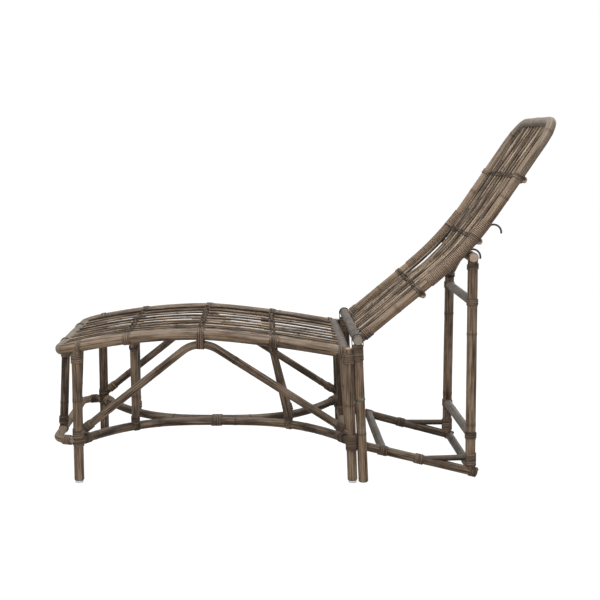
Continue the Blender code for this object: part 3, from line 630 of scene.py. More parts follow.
arch_feet = (FOOT_LEG_X + LEG_D / 4, head_leg_x(ARCH_FOOT_Z) - LEG_D / 4)
arch_top_z = seat_z(ARCH_APEX_X) - (SEAT_RAIL_D + ARCH_D) / 2 - ARCH_CLEAR
arch_rise = arch_top_z - ARCH_FOOT_Z
arch_slopes = [math.atan2(arch_rise, abs(ARCH_APEX_X - x) - ARCH_APEX_R / 3) for x in arch_feet]
arches = {}
for label, side in SIDES:
    y = side * SEAT_HALF_WIDTH
    path = [at(arch_feet[0], y, ARCH_FOOT_Z)]
    for a in steps(arch_slopes[0], -arch_slopes[1], 24):
        z = arch_top_z - ARCH_APEX_R * (1 - math.cos(a))
        path.append(at(ARCH_APEX_X - ARCH_APEX_R * math.sin(a), y, z))
    path.append(at(arch_feet[1], y, ARCH_FOOT_Z))
    arches[label] = path
    pole(f"arch_brace_{label}", path, ARCH_D, "bench", rings=0.27, tone=ARCH_TONES_FAR_SHADED[label])

stretcher_ends = (FOOT_LEG_X + LEG_D / 4, head_leg_x(STRETCHER_Z) - LEG_D / 4)


def stretcher_at(x, side):
    """A point on the side stretcher of one side, x along the object."""
    middle = sum(stretcher_ends) / 2
    half = (stretcher_ends[1] - stretcher_ends[0]) / 2
    inward = 1 - min(abs(x - middle) / half, 1.0) ** STRETCHER_POWER
    y = SEAT_HALF_WIDTH + (STRETCHER_MEET - SEAT_HALF_WIDTH) * inward
    return at(x, side * y, STRETCHER_Z - STRETCHER_DIP * inward)


stretchers = {}
side_posts = {}
for label, side in SIDES:
    stretchers[label] = [stretcher_at(x, side) for x in steps(*stretcher_ends, 60)]
    pole(f"side_stretcher_{label}", stretchers[label], STRETCHER_D, "bench", rings=0.25, crook=0.0004)
    for end, top_x, foot_x in zip(("foot", "head"), SIDE_POST_TOP_X[label], SIDE_POST_FOOT_X[label]):
        foot = stretcher_at(foot_x, side) + Vector((0, 0, STRETCHER_D / 4))
        top = at(top_x, side * SEAT_HALF_WIDTH, seat_z(top_x) - SEAT_RAIL_D / 4)
        side_posts[end, label] = [foot, top]
        pole(f"side_post_{end}_{label}", [foot, top], SIDE_POST_D, "bench", rings=0.20)

half_loop = [at(FOOT_LEG_X - LEG_D / 4, SEAT_HALF_WIDTH, STRETCHER_Z)]
loop_centre = (FOOT_LOOP_X + FOOT_LOOP_R, SEAT_HALF_WIDTH - FOOT_LOOP_R)
for a in steps(math.pi / 2, math.pi, 12)[1:]:
    x = loop_centre[0] + FOOT_LOOP_R * math.cos(a)
    half_loop.append(at(x, loop_centre[1] + FOOT_LOOP_R * math.sin(a), STRETCHER_Z))
foot_loop = mirrored(half_loop)
pole("foot_stretcher", foot_loop, END_STRETCHER_D, "bench")
head_x = head_leg_x(HEAD_STRETCHER_Z)
head_reach = SEAT_HALF_WIDTH - LEG_D / 4
head_ends = level_pole(head_x, head_reach, HEAD_STRETCHER_Z)
pole("head_stretcher", head_ends, END_STRETCHER_D, "bench")
end_posts = {}
for label, side in SIDES:
    y = side * END_POST_Y
    foot = at(FOOT_LOOP_X, y, STRETCHER_Z + END_STRETCHER_D / 4)
    top = at(FOOT_RAIL_X, y, seat_z(FOOT_RAIL_X) - SEAT_RAIL_D / 4)
    end_posts["foot", label] = [foot, top]
    pole(f"foot_post_{label}", [foot, top], FOOT_POST_D, "bench")
    foot = at(head_x, y, HEAD_STRETCHER_Z + END_STRETCHER_D / 4)
    top = at(REAR_RAIL_X, y, rear_rail_z - REAR_RAIL_D / 4)
    end_posts["head", label] = [foot, top]
    pole(f"head_post_{label}", [foot, top], HEAD_POST_D, "bench")


# Back posts, stand pins and hinge staples
# A short pole stands beside each head leg. The backrest's hinge rail lies on both tops under a bent wire.
# A steel pin low in each post carries the stand. The near post keeps a greenish node of the cane.
BACK_POST_D = 0.030
BACK_POST_Y = 0.262
BACK_POST_LEAN = 0.024
HINGE_RAIL_D = 0.030
HINGE_GAP = 0.0003
POST_NODE_SHARES = (0.592, 0.620)
POST_NODE_D = 0.0322
# The near post gets a pale tone, painted light, and the far post a dark one, painted shade.
BACK_POST_PAINTED_LIGHT_TONES = {"near": 0.92, "far": 0.1}
WIRE_D = 0.003
WIRE_LEG = 0.008
PIN_D = 0.008
STAND_RAIL_FRONT_Y = 0.231
STAND_RAIL_D = 0.027
# A ring spacing longer than the pieces that have it.
RINGLESS = 9.0

node_cane = cane_finish(
    "node_cane",
    dark=(0.040, 0.042, 0.028),
    mid=(0.120, 0.122, 0.088),
    pale=(0.200, 0.200, 0.150),
    grey=(0.180, 0.182, 0.150),
    greying=0.5,
)
steel_wire = plain_finish("hinge_wire_steel", (0.075, 0.075, 0.072), 0.45, metallic=1.0)


def wire(name, chains, diameter, finish, sides=12):
    """Bent wire or a rod: a plain round sweep with rounded ends."""
    values = {"Diameter": diameter, "Sides": sides, "Ring Spacing": RINGLESS, "Ring Rise": 0.0}
    values |= {"Swell": 0.0, "Crook": 0.0, "Finish": finish}
    return grown(name, cane_pole, [(chain, None, 0.5) for chain in chains], values)


pivot = Vector(joints["stand_fold"]["pos_m"])
post_axis = Vector((-BACK_POST_LEAN, 0, hinge.z)).normalized()
post_top_z = hinge.z - HINGE_RAIL_D / 2 - HINGE_GAP
staple_r = (HINGE_RAIL_D + WIRE_D) / 2 + HINGE_GAP
for label, side in SIDES:
    y = side * BACK_POST_Y
    hinge_at = Vector((hinge.x, y, hinge.z))
    ends = [hinge_at - post_axis * (drop / post_axis.z) for drop in (hinge.z, hinge.z - post_top_z)]
    pole(f"back_post_{label}", ends, BACK_POST_D, "bench", rings=0.26, tone=BACK_POST_PAINTED_LIGHT_TONES[label])
    if label == "near":
        scar = fine([ends[0].lerp(ends[1], share) for share in POST_NODE_SHARES])
        values = {"Diameter": POST_NODE_D, "Sides": POLE_SIDES, "Ring Spacing": RINGLESS, "Finish": node_cane}
        values |= {"Ring Rise": 0.0, "Swell": 0.0, "Crook": 0.0}
        node_ring = grown("cane_post_node", cane_pole, [(scar, None, 0.5)], values)
        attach(node_ring, "bench")
    arc = [
        Vector((hinge.x + staple_r * math.cos(a), y, hinge.z + staple_r * math.sin(a)))
        for a in steps(math.pi, 0.0, 24)
    ]
    leg = post_axis * (HINGE_RAIL_D / 2 + WIRE_LEG)
    staple = wire(f"wire_staple_{label}", [[arc[0] - leg, *arc, arc[-1] - leg]], WIRE_D, steel_wire, 10)
    pin_ends = [side * (BACK_POST_Y + BACK_POST_D / 4), side * (STAND_RAIL_FRONT_Y - STAND_RAIL_D / 2)]
    pin_path = fine([Vector((pivot.x, pin_y, pivot.z)) for pin_y in pin_ends])
    pin = wire(f"steel_pin_{label}", [pin_path], PIN_D, steel_wire, 20)
    for piece, node in ((staple, f"hinge_staple_{label}"), (pin, f"stand_pin_{label}")):
        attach(piece, "bench")
        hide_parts(node)


# Bindings of the bench
# Split cane, rounded outside and 5 to 6 mm wide, is wound tightly round the poles at every joint.
# Where an arch or a cross rail meets a side rail, the winding takes in both poles.
STRAND_WIDTH = 0.0056
STRAND_PITCH = 0.0057
STRAND_THICK = 0.0028
STRAND_TURN_POINTS = 24
STRAND_TUCK_RATE = 5
UPRIGHT = 0.9
LEG_BIND_Z = {"foot": 0.141, "head": 0.127}
POST_FOOT_BIND = 0.022
SIDE_POST_TOP_BIND = 0.026
END_POST_TOP_BIND = 0.024
BACK_POST_TOP_BIND = 0.026
STRETCHER_BOUND_X = -0.130
STRETCHER_BOUND_PITCH = 0.0048

binding_cane = cane_finish(
    "binding_cane",
    dark=(0.045, 0.030, 0.021),
    mid=(0.122, 0.084, 0.056),
    pale=(0.224, 0.157, 0.108),
    grey=(0.200, 0.175, 0.148),
    greying=0.35,
    relief=0.0004,
)


def cane_strip_tree():
    """A flat strand of split cane along each chain, with its face to the chain's outward directions."""
    edge_range = (0.26, 0.43)
    inputs = [("Path", "Geometry"), ("Width", "Float"), ("Thickness", "Float"), ("Finish", "Material")]
    tree, given, result = new_tree("cane_strip", "GeometryNodeTree", inputs, [("Cane", "Geometry")])
    curve = add(tree, "GeometryNodeMeshToCurve", {0: given["Path"]}).outputs[0]
    out = named(tree, "out", "FLOAT_VECTOR")
    curve = add(tree, "GeometryNodeSetCurveNormal", {0: curve, "Normal": out}, mode="FREE").outputs[0]
    length = add(tree, "GeometryNodeSplineParameter").outputs["Length"]
    along = sums(tree, "MULTIPLY_ADD", named(tree, "tone"), GRAIN_SHIFT, length)
    curve = keep(tree, curve, "along", along)
    curve = keep(tree, curve, "ring", 0.0)
    half_thick = sums(tree, "MULTIPLY", given["Thickness"], 0.5)
    half_width = sums(tree, "MULTIPLY", given["Width"], 0.5)
    size = add(tree, "ShaderNodeCombineXYZ", {"X": half_thick, "Y": half_width}).outputs[0]
    outline = add(tree, "GeometryNodeCurvePrimitiveCircle", {"Resolution": 10, "Radius": 1.0}).outputs[0]
    outline = add(tree, "GeometryNodeTransform", {0: outline, "Scale": size}).outputs[0]
    position = add(tree, "GeometryNodeInputPosition").outputs[0]
    outline = keep(tree, outline, "section", position, "FLOAT_VECTOR")
    across = sums(tree, "ABSOLUTE", add(tree, "ShaderNodeSeparateXYZ", {0: position}).outputs["Y"])
    across = sums(tree, "DIVIDE", across, given["Width"])
    # How near a point lies to the strand's edge, where the cane material paints shade.
    outline = keep(tree, outline, "edge", eased(tree, across, *edge_range, 0.0, 1.0))
    swept = add(tree, "GeometryNodeCurveToMesh", {0: curve, 1: outline, "Fill Caps": True})
    dressed(tree, swept.outputs[0], given["Finish"], result[0])
    return tree


cane_strip = cane_strip_tree()


def wound(centre, axis, turns, rounds, pitch=STRAND_PITCH, thick=STRAND_THICK, start=0.0):
    """A strand wound about an axis, with its two ends tucked in.

    rounds holds (offset from the centre, radius) of each pole that it takes in.
    """
    axis = axis.normalized()
    across = Vector((0, 0, 1)) if abs(axis.z) < UPRIGHT else Vector((1, 0, 0))
    side = axis.cross(across).normalized()
    up = axis.cross(side)
    chain = []
    outs = []
    count = round(turns * STRAND_TURN_POINTS)
    for i in range(count + 1):
        a = start + 2 * math.pi * i / STRAND_TURN_POINTS
        out = side * math.cos(a) + up * math.sin(a)
        tuck = thick * max(0.0, 1 - STRAND_TUCK_RATE * min(i, count - i) / STRAND_TURN_POINTS)
        offset, radius = max(rounds, key=lambda pair: pair[0].dot(out) + pair[1])
        rise = (i / STRAND_TURN_POINTS - turns / 2) * pitch
        chain.append(centre + offset + axis * rise + out * (radius + thick / 2 - tuck))
        outs.append(out)
    return chain, outs, next_tone()


def on_pole(path, distance, diameter, turns, *others, from_end=False):
    """A winding on a pole at a distance from its first or last point, with other poles that it takes in."""
    path = list(reversed(path)) if from_end else path
    i = 0
    while i < len(path) - 2 and (path[i + 1] - path[i]).length < distance:
        distance -= (path[i + 1] - path[i]).length
        i += 1
    axis = (path[i + 1] - path[i]).normalized()
    centre = path[i] + axis * distance
    return wound(centre, axis, turns, [(Vector(), diameter / 2), *others], start=turns)


def wound_near(path, place, diameter, turns):
    """A winding on a pole where it passes nearest to a place."""
    path = fine(path)
    nearest = min(range(1, len(path) - 1), key=lambda i: (path[i] - place).length)
    axis = path[nearest + 1] - path[nearest - 1]
    return wound(path[nearest], axis, turns, [(Vector(), diameter / 2)], start=turns)


def bindings(name, strands, body, finish=binding_cane, width=STRAND_WIDTH, thick=STRAND_THICK):
    """One piece of split-cane strands that rides on a body."""
    piece = grown(name, cane_strip, strands, {"Width": width, "Thickness": thick, "Finish": finish})
    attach(piece, body)
    return piece


strands = []
for label, side in SIDES:
    y = side * SEAT_HALF_WIDTH
    rail = [at(x, y, seat_z(x)) for x in steps(SEAT_RAIL_END_X, corner_x, RAIL_STEPS)]
    for x in SEAT_CROSS_X:
        taken = []
        if abs(x - ARCH_APEX_X) < ARCH_D:
            drop = (SEAT_RAIL_D + ARCH_D) / 2 + ARCH_CLEAR
            taken.append((Vector((0, 0, -drop)), ARCH_D / 2))
        strands.append(on_pole(rail, SEAT_RAIL_END_X - x, SEAT_RAIL_D, 4, *taken))
    loop = foot_loop if side > 0 else list(reversed(foot_loop))
    head = head_ends if side < 0 else list(reversed(head_ends))
    for path, distance, diameter, turns, from_end in (
        (legs["foot", label], LEG_BIND_Z["foot"] - GLIDE_H, LEG_D, 9, False),
        (legs["head", label], LEG_BIND_Z["head"] - GLIDE_H, LEG_D, 9, False),
        (legs["foot", label], 0.027, LEG_D, 5, True),
        (rail, SEAT_RAIL_END_X - FOOT_LEG_X, SEAT_RAIL_D, 3, False),
        (rail, 0.017, SEAT_RAIL_D, 3, False),
        (legs["head", label], 0.032, LEG_D, 6, True),
        (arches[label], 0.030, ARCH_D, 5, False),
        (arches[label], 0.030, ARCH_D, 5, True),
        (stretchers[label], 0.030, STRETCHER_D, 5, False),
        (stretchers[label], 0.030, STRETCHER_D, 5, True),
        (loop, 0.026, END_STRETCHER_D, 5, False),
        (head, 0.024, END_STRETCHER_D, 4, False),
    ):
        strands.append(on_pole(path, distance, diameter, turns, from_end=from_end))
    for end in ("foot", "head"):
        strands.append(wound_near(stretchers[label], side_posts[end, label][0], STRETCHER_D, 3))
    strands.append(wound_near(foot_loop, end_posts["foot", label][0], END_STRETCHER_D, 3))
    strands.append(wound_near(seat_path, end_posts["foot", label][1], SEAT_RAIL_D, 3))
    for end in ("foot", "head"):
        post = side_posts[end, label]
        strands.append(on_pole(post, POST_FOOT_BIND, SIDE_POST_D, 4))
        strands.append(on_pole(post, SIDE_POST_TOP_BIND, SIDE_POST_D, 3, from_end=True))
    for end, post_d in (("foot", FOOT_POST_D), ("head", HEAD_POST_D)):
        post = end_posts[end, label]
        strands.append(on_pole(post, POST_FOOT_BIND, post_d, 4))
        strands.append(on_pole(post, END_POST_TOP_BIND, post_d, 4, from_end=True))
    post_foot = Vector((hinge.x + BACK_POST_LEAN, side * BACK_POST_Y, 0.0))
    post_top = Vector((hinge.x, side * BACK_POST_Y, post_top_z))
    strands.append(on_pole([post_foot, post_top], BACK_POST_TOP_BIND, BACK_POST_D, 8, from_end=True))
meeting = (stretcher_at(STRETCHER_BOUND_X, -1) + stretcher_at(STRETCHER_BOUND_X, 1)) / 2
pair = [(Vector((0, side * STRETCHER_MEET, 0)), STRETCHER_D / 2) for _, side in SIDES]
strands.append(wound(meeting, Vector((1, 0, 0)), 7, pair, pitch=STRETCHER_BOUND_PITCH))
bindings("bench_bindings", strands, "bench")


# Lashings of the seat canes
# Thin strands of split cane tie every seat cane to the three cross rails under it.
# Each tie is two short windings that lean apart and take in both, with painted shade on their sides.
LASH_WIDTH = 0.0042
LASH_THICK = 0.0020
LASH_PITCH = 0.0044
LASH_SNUG = 0.75
SEAT_LASH_SHIFT = 0.0045
SEAT_LASH_TILT = 0.4
SEAT_LASH_TURNS = 2.5
SLOPE_STEP = 0.01

lash_cane = cane_finish(
    "lash_cane",
    dark=(0.014, 0.010, 0.008),
    mid=(0.075, 0.053, 0.038),
    pale=(0.170, 0.120, 0.084),
    grey=(0.120, 0.105, 0.093),
    greying=0.20,
    # Painted shade on the sides and undersides of the strands.
    painted_side_shade=0.85,
    relief=0.0003,
)
lashes = []
for x in SEAT_CROSS_X:
    lean = math.atan2(seat_z(x + SLOPE_STEP) - seat_z(x - SLOPE_STEP), 2 * SLOPE_STEP)
    along = Vector((math.cos(lean), 0, math.sin(lean)))
    for y in seat_slat_y:
        slat = at(x, y, seat_z(x) + slat_lift)
        rail_drop = Vector((0, 0, seat_z(x) - SEAT_CROSS_DROP - slat.z))
        rounds = [(Vector(), SEAT_SLAT_D / 2), (rail_drop, LASH_SNUG * SEAT_CROSS_D / 2)]
        for shift in (-1, 1):
            centre = slat + along * shift * SEAT_LASH_SHIFT
            axis = along + Vector((0, shift * SEAT_LASH_TILT, 0))
            lashes.append(wound(centre, axis, SEAT_LASH_TURNS, rounds, LASH_PITCH, LASH_THICK))
bindings("seat_lashings", lashes, "bench", lash_cane, LASH_WIDTH, LASH_THICK)


# Hinge rail and back frame
# A grey pole turns on the two back posts. The back frame is one pole bent into a tall U, with a soft bend
# at about mid height, and its two ends are coped onto the hinge rail.
HINGE_RAIL_HALF = 0.286
BACK_HALF_WIDTH = 0.225
BACK_RAIL_D = 0.029
BACK_START = (0.013, -0.003)
BACK_SLOPES = (math.radians(40.0), math.radians(56.5))
BACK_LENGTHS = (0.270, 0.280, 0.321)
BACK_CORNER_R = 0.085
BACK_RAIL_STEPS = 80
BACK_FADES = ((1.6, 0.05), (0.9, 0.34))
HINGE_RAIL_TONE = 0.0


def back_at(s, y=0.0, behind=0.0):
    """A point on the back at length s from the hinge, y across, and behind the side rails' centre line."""
    low, high = BACK_SLOPES
    straight, bend, _ = BACK_LENGTHS
    bend_r = bend / (high - low)
    angle = low + min(max(s - straight, 0.0), bend) / bend_r
    lower = min(s, straight)
    upper = max(s - straight - bend, 0.0)
    x = hinge.x + BACK_START[0] + math.cos(low) * lower + bend_r * (math.sin(angle) - math.sin(low))
    z = hinge.z + BACK_START[1] + math.sin(low) * lower + bend_r * (math.cos(low) - math.cos(angle))
    x += math.cos(angle) * upper + math.sin(angle) * behind
    z += math.sin(angle) * upper - math.cos(angle) * behind
    return Vector((x, y, z))


def back_axes(s):
    """The direction up the back, and straight out behind it, at length s."""
    step = 0.001
    up = (back_at(s + step) - back_at(s - step)).normalized()
    return up, Vector((up.z, 0, -up.x))


back_length = sum(BACK_LENGTHS)
corner_s = back_length - BACK_CORNER_R
half_back = [back_at(s, -BACK_HALF_WIDTH) for s in steps(0.0, corner_s, BACK_RAIL_STEPS)]
for a in steps(0.0, math.pi / 2, 14)[1:]:
    y = BACK_HALF_WIDTH - BACK_CORNER_R * (1 - math.cos(a))
    half_back.append(back_at(corner_s + BACK_CORNER_R * math.sin(a), -y))
back_path = mirrored(half_back)
top_z = half_back[-1].z


def back_fade(point):
    """The top bend has faded to grey, and the side rails a little below it."""
    drop = top_z - point.z
    return max(0.0, *[strength * (1 - drop / reach) for strength, reach in BACK_FADES])


pole("back_frame", back_path, BACK_RAIL_D, "backrest", fade=back_fade)
hinge_ends = [Vector((hinge.x, y, hinge.z)) for y in (-HINGE_RAIL_HALF, HINGE_RAIL_HALF)]
pole(
    "hinge_rail",
    hinge_ends,
    HINGE_RAIL_D,
    "backrest",
    grey_rattan,
    tone=HINGE_RAIL_TONE,
    crook=0.0,
)


# Back panel
# Canes run up the back in front of three cross rails, and dark strands lash them to each.
# The cross rails are let into the side rails from behind and bound to them. Two canes sag in the second bay.
BACK_CROSS_S = (0.227, 0.455, 0.676)
BACK_CROSS_D = 0.020
BACK_CROSS_REACH = BACK_HALF_WIDTH + 0.002
BACK_CROSS_SINK = 0.006
BACK_SLAT_SHARES = (-0.83, -0.66, -0.48, -0.31, -0.14, 0.04, 0.21, 0.38, 0.53, 0.67, 0.83)
BACK_SLAT_D = 0.0105
BACK_SLAT_FROM_S = 0.004
SAGGING_SLATS = {0.53: 0.0065, 0.67: 0.0085}
SAG_POWER = 3
BACK_LASH_SHIFT = 0.0042
BACK_LASH_TILT = 0.35
BACK_LASH_TURNS = 2
BACK_LASH_SHARE = 0.8

back_cross_behind = (BACK_RAIL_D + BACK_CROSS_D) / 2 - BACK_CROSS_SINK
back_rails = []
for s in BACK_CROSS_S:
    back_rails.append([back_at(s, y, back_cross_behind) for y in (-BACK_CROSS_REACH, BACK_CROSS_REACH)])
slat_behind = back_cross_behind - (BACK_CROSS_D + BACK_SLAT_D) / 2 + SLAT_SINK
back_slat_y = [share * BACK_HALF_WIDTH for share in BACK_SLAT_SHARES]
back_slats = []
for share, y in zip(BACK_SLAT_SHARES, back_slat_y):
    inset = abs(y) - (BACK_HALF_WIDTH - BACK_CORNER_R)
    top_s = corner_s + math.sqrt(BACK_CORNER_R**2 - max(inset, 0.0) ** 2)
    sag = SAGGING_SLATS.get(share, 0.0)
    path = []
    for s in steps(BACK_SLAT_FROM_S, top_s, RAIL_STEPS):
        bay = (s - BACK_CROSS_S[0]) / (BACK_CROSS_S[1] - BACK_CROSS_S[0])
        slack = sag * max(0.0, 1 - abs(2 * bay - 1) ** SAG_POWER)
        path.append(back_at(s, y, slat_behind + slack))
    back_slats.append(path)
slat_deck("back_slat_panel", back_slats, BACK_SLAT_D, back_rails, BACK_CROSS_D, "backrest")

back_lash = (BACK_LASH_SHARE * LASH_WIDTH, BACK_LASH_SHARE * LASH_THICK)
lashes = []
for s in BACK_CROSS_S:
    up, behind = back_axes(s)
    for y in back_slat_y:
        slat = back_at(s, y, slat_behind)
        rail_drop = behind * (back_cross_behind - slat_behind)
        rounds = [(Vector(), BACK_SLAT_D / 2), (rail_drop, LASH_SNUG * BACK_CROSS_D / 2)]
        for shift in (-1, 1):
            centre = slat + up * shift * BACK_LASH_SHIFT
            axis = up + Vector((0, shift * BACK_LASH_TILT, 0))
            lashes.append(wound(centre, axis, BACK_LASH_TURNS, rounds, LASH_PITCH, back_lash[1]))
# The back lashings are lash cane too, with painted shade on their sides.
bindings("back_lashings", lashes, "backrest", lash_cane, *back_lash)


# Wire hooks
# Four black wire hooks are screwed into the side rails from behind, two a side.
# The top pole of the stand lies in the lower pair, or in the upper pair for a steeper back.
HOOK_WIRE_D = 0.006
HOOK_SEAT_S = (0.4085, 0.5005)
HOOK_ROOM = 0.0055
HOOK_START = math.radians(80.0)
HOOK_SWEEP = math.radians(62.0)
STAND_POLE_D = 0.030
WRAP_THICK = 0.0034
WRAP_GAP = 0.00145

black_wire = plain_finish("hook_black", (0.028, 0.027, 0.026), 0.42, mottle=0.4)
hook_r = STAND_POLE_D / 2 + HOOK_ROOM + HOOK_WIRE_D / 2
hook_behind = BACK_RAIL_D / 2 + WRAP_GAP + WRAP_THICK + STAND_POLE_D / 2
for label, side in SIDES:
    for level, s in zip(("lower", "upper"), HOOK_SEAT_S):
        up, behind = back_axes(s)
        centre = back_at(s, side * BACK_HALF_WIDTH, hook_behind)
        chain = []
        for a in steps(-HOOK_START, HOOK_SWEEP, 24):
            chain.append(centre + (up * math.cos(a) + behind * math.sin(a)) * hook_r)
        hook = wire(f"wire_hook_{level}_{label}", [fine(chain)], HOOK_WIRE_D, black_wire, 16)
        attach(hook, "backrest")
        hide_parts(f"hook_{level}_{label}")


# Windings of the side rails
# One long strand of split cane is wound round each side rail, turn against turn, along the stretch that holds
# the hooks. It keeps the top pole of the stand from wearing the rail.
WRAP_TURNS = 48
WRAP_FROM_S = 0.265
WRAP_PITCH = 0.0052
WRAP_STRAND = (0.0049, 0.0026)
WRAP_TONE = 1.6

for label, side in SIDES:
    chain = []
    outs = []
    for i in range(WRAP_TURNS * STRAND_TURN_POINTS + 1):
        turn = i / STRAND_TURN_POINTS
        s = WRAP_FROM_S + turn * WRAP_PITCH
        _, behind = back_axes(s)
        a = 2 * math.pi * turn
        out = Vector((0, side * math.cos(a), 0)) - behind * math.sin(a)
        chain.append(back_at(s, side * BACK_HALF_WIDTH) + out * (BACK_RAIL_D + WRAP_STRAND[1]) / 2)
        outs.append(out)
    strand = [(chain, outs, WRAP_TONE)]
    wrap = bindings(f"rail_winding_{label}", strand, "backrest", binding_cane, *WRAP_STRAND)
    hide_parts(f"hook_wrap_{label}")


# Bindings of the backrest
# Split cane is wound round the foot of each side rail, above the hinge rail.
# Where a cross rail meets a side rail, three turns go round the side rail and one takes in both.
BACK_FOOT_BIND = 0.026

strands = []
for label, side in SIDES:
    rail = [back_at(s, side * BACK_HALF_WIDTH) for s in steps(0.0, corner_s, BACK_RAIL_STEPS)]
    strands.append(on_pole(rail, BACK_FOOT_BIND, BACK_RAIL_D, 5))
    for s in BACK_CROSS_S:
        _, behind = back_axes(s)
        rail_end = Vector((0, side * (BACK_CROSS_REACH - BACK_HALF_WIDTH - BACK_CROSS_D / 2), 0))
        taken = (behind * back_cross_behind + rail_end, BACK_CROSS_D / 2)
        strands.append(on_pole(rail, s, BACK_RAIL_D, 3))
        strands.append(on_pole(rail, s, BACK_RAIL_D, 1, taken))
bindings("backrest_bindings", strands, "backrest")


# Stand
# A braced frame on two pins: two rails along the floor, two posts and a top pole that props the back,
# with greyer rungs and bars between them and one diagonal.
STAND_RAIL_NOSE = 0.016
STAND_FOOT_X = 0.680
STAND_FOOT_Z = 0.0138
STAND_HALF_WIDTH = 0.213
STAND_POST_D = 0.031
STAND_POST_FOOT_X = 0.660
STAND_POST_TOP_SHIFT = 0.006
STAND_TOP_HALF = 0.200
STAND_POLE_HALF = 0.246
STAND_RUNG_D = 0.0275
STAND_RUNG_Z = (0.132, 0.545)
STAND_BAR_X = (0.388, 0.668)
STAND_BAR_D = 0.0265
STAND_BRACE_D = 0.018
STAND_BRACE_X = 0.500
STAND_BRACE_Z = 0.062
STAND_DIAGONAL_D = 0.021
STAND_DIAGONAL_FOOT_Z = 0.575
STAND_DIAGONAL_TOP_Y = -0.040
# The far rail gets the darkest tone, painted shade.
STAND_RAIL_TONES_FAR_SHADED = {"near": 0.32, "far": 0.0}
STAND_RUNG_TONES = (1.10, 1.30)
STAND_POST_RING = 0.141
STAND_POST_TONE = 0.66
STAND_BAR_TONES = (0.50, 0.0)
# The braces get a tone below dark, painted shade.
STAND_BRACE_PAINTED_SHADE = -0.3
STAND_DIAGONAL_TONE = 0.75

pole_at = back_at(HOOK_SEAT_S[0], 0.0, hook_behind)
pivot_x = pivot.x - hinge.x + HINGE_X


def rail_at(x, side):
    """A point on the floor rail of one side, x along the object."""
    share = (x - pivot_x) / (STAND_FOOT_X - pivot_x)
    y = STAND_RAIL_FRONT_Y + (STAND_HALF_WIDTH - STAND_RAIL_FRONT_Y) * share
    return at(x, side * y, pivot.z + (STAND_FOOT_Z - pivot.z) * share)


def post_at(z, side):
    """A point on the post of one side, at height z."""
    foot = rail_at(STAND_POST_FOOT_X, side)
    top = Vector((pole_at.x + STAND_POST_TOP_SHIFT, side * STAND_TOP_HALF, pole_at.z))
    return foot.lerp(top, (z - foot.z) / (top.z - foot.z))


top_ends = [Vector((pole_at.x, y, pole_at.z)) for y in (-STAND_POLE_HALF, STAND_POLE_HALF)]
pole("stand_top_pole", top_ends, STAND_POLE_D, "stand", crook=0.0)
stand_rails = {}
stand_posts = {}
for label, side in SIDES:
    stand_rails[label] = [rail_at(pivot_x - STAND_RAIL_NOSE, side), rail_at(STAND_FOOT_X, side)]
    tone = STAND_RAIL_TONES_FAR_SHADED[label]
    pole(f"stand_rail_{label}", stand_rails[label], STAND_RAIL_D, "stand", rings=0.17, tone=tone)
    foot_z = rail_at(STAND_POST_FOOT_X, side).z + STAND_RAIL_D / 4
    stand_posts[label] = [post_at(foot_z, side), post_at(pole_at.z - STAND_POLE_D / 4, side)]
    pole(
        f"stand_post_{label}",
        stand_posts[label],
        STAND_POST_D,
        "stand",
        rings=0.28,
        ring_at=STAND_POST_RING,
        tone=STAND_POST_TONE,
    )
    brace = [rail_at(STAND_BRACE_X, side), post_at(STAND_BRACE_Z, side) - Vector((STAND_POST_D / 4, 0, 0))]
    pole(f"stand_brace_{label}", brace, STAND_BRACE_D, "stand", tone=STAND_BRACE_PAINTED_SHADE)
for level, z, tone in zip(("lower", "upper"), STAND_RUNG_Z, STAND_RUNG_TONES):
    ends = [post_at(z, -1), post_at(z, 1)]
    pole(f"stand_{level}_rung", ends, STAND_RUNG_D, "stand", grey_rattan, tone=tone)
for place, x, tone in zip(("front", "rear"), STAND_BAR_X, STAND_BAR_TONES):
    ends = [rail_at(x, -1), rail_at(x, 1)]
    pole(f"stand_{place}_bar", ends, STAND_BAR_D, "stand", grey_rattan, tone=tone)
diagonal_top = Vector((pole_at.x, STAND_DIAGONAL_TOP_Y, pole_at.z - STAND_POLE_D / 4))
diagonal = [post_at(STAND_DIAGONAL_FOOT_Z, 1), diagonal_top]
pole("stand_diagonal", diagonal, STAND_DIAGONAL_D, "stand", tone=STAND_DIAGONAL_TONE)


# Bindings of the stand
# Split cane holds the rungs, bars, braces and feet, wound round the heavier pole of each joint.
# A dark strand of lash cane, with painted shade on its sides, ties the foot of the diagonal to the far post.
STAND_FOOT_BIND = 0.030
STAND_TOP_BIND = 0.024
STAND_RAIL_END_BIND = 0.012
DIAGONAL_BIND = 0.030
DIAGONAL_LASH_RISES = (0.004, 0.026)

strands = []
for label, side in SIDES:
    post = stand_posts[label]
    rail = stand_rails[label]
    strands.append(on_pole(post, STAND_FOOT_BIND, STAND_POST_D, 7))
    for z in STAND_RUNG_Z:
        strands.append(on_pole(post, z - post[0].z, STAND_POST_D, 4))
    strands.append(on_pole(post, STAND_TOP_BIND, STAND_POST_D, 3, from_end=True))
    for x in (STAND_BAR_X[0], STAND_BRACE_X):
        strands.append(on_pole(rail, (rail_at(x, side) - rail[0]).length, STAND_RAIL_D, 5))
    strands.append(on_pole(rail, STAND_RAIL_END_BIND, STAND_RAIL_D, 4, from_end=True))
bindings("stand_bindings", strands, "stand")
far_post = stand_posts["far"]
lashes = []
for rise in DIAGONAL_LASH_RISES:
    lashes.append(on_pole(far_post, STAND_DIAGONAL_FOOT_Z - far_post[0].z + rise, STAND_POST_D, 2))
lashes.append(on_pole(diagonal, DIAGONAL_BIND, STAND_DIAGONAL_D, 3))
bindings("stand_lashings", lashes, "stand", lash_cane)


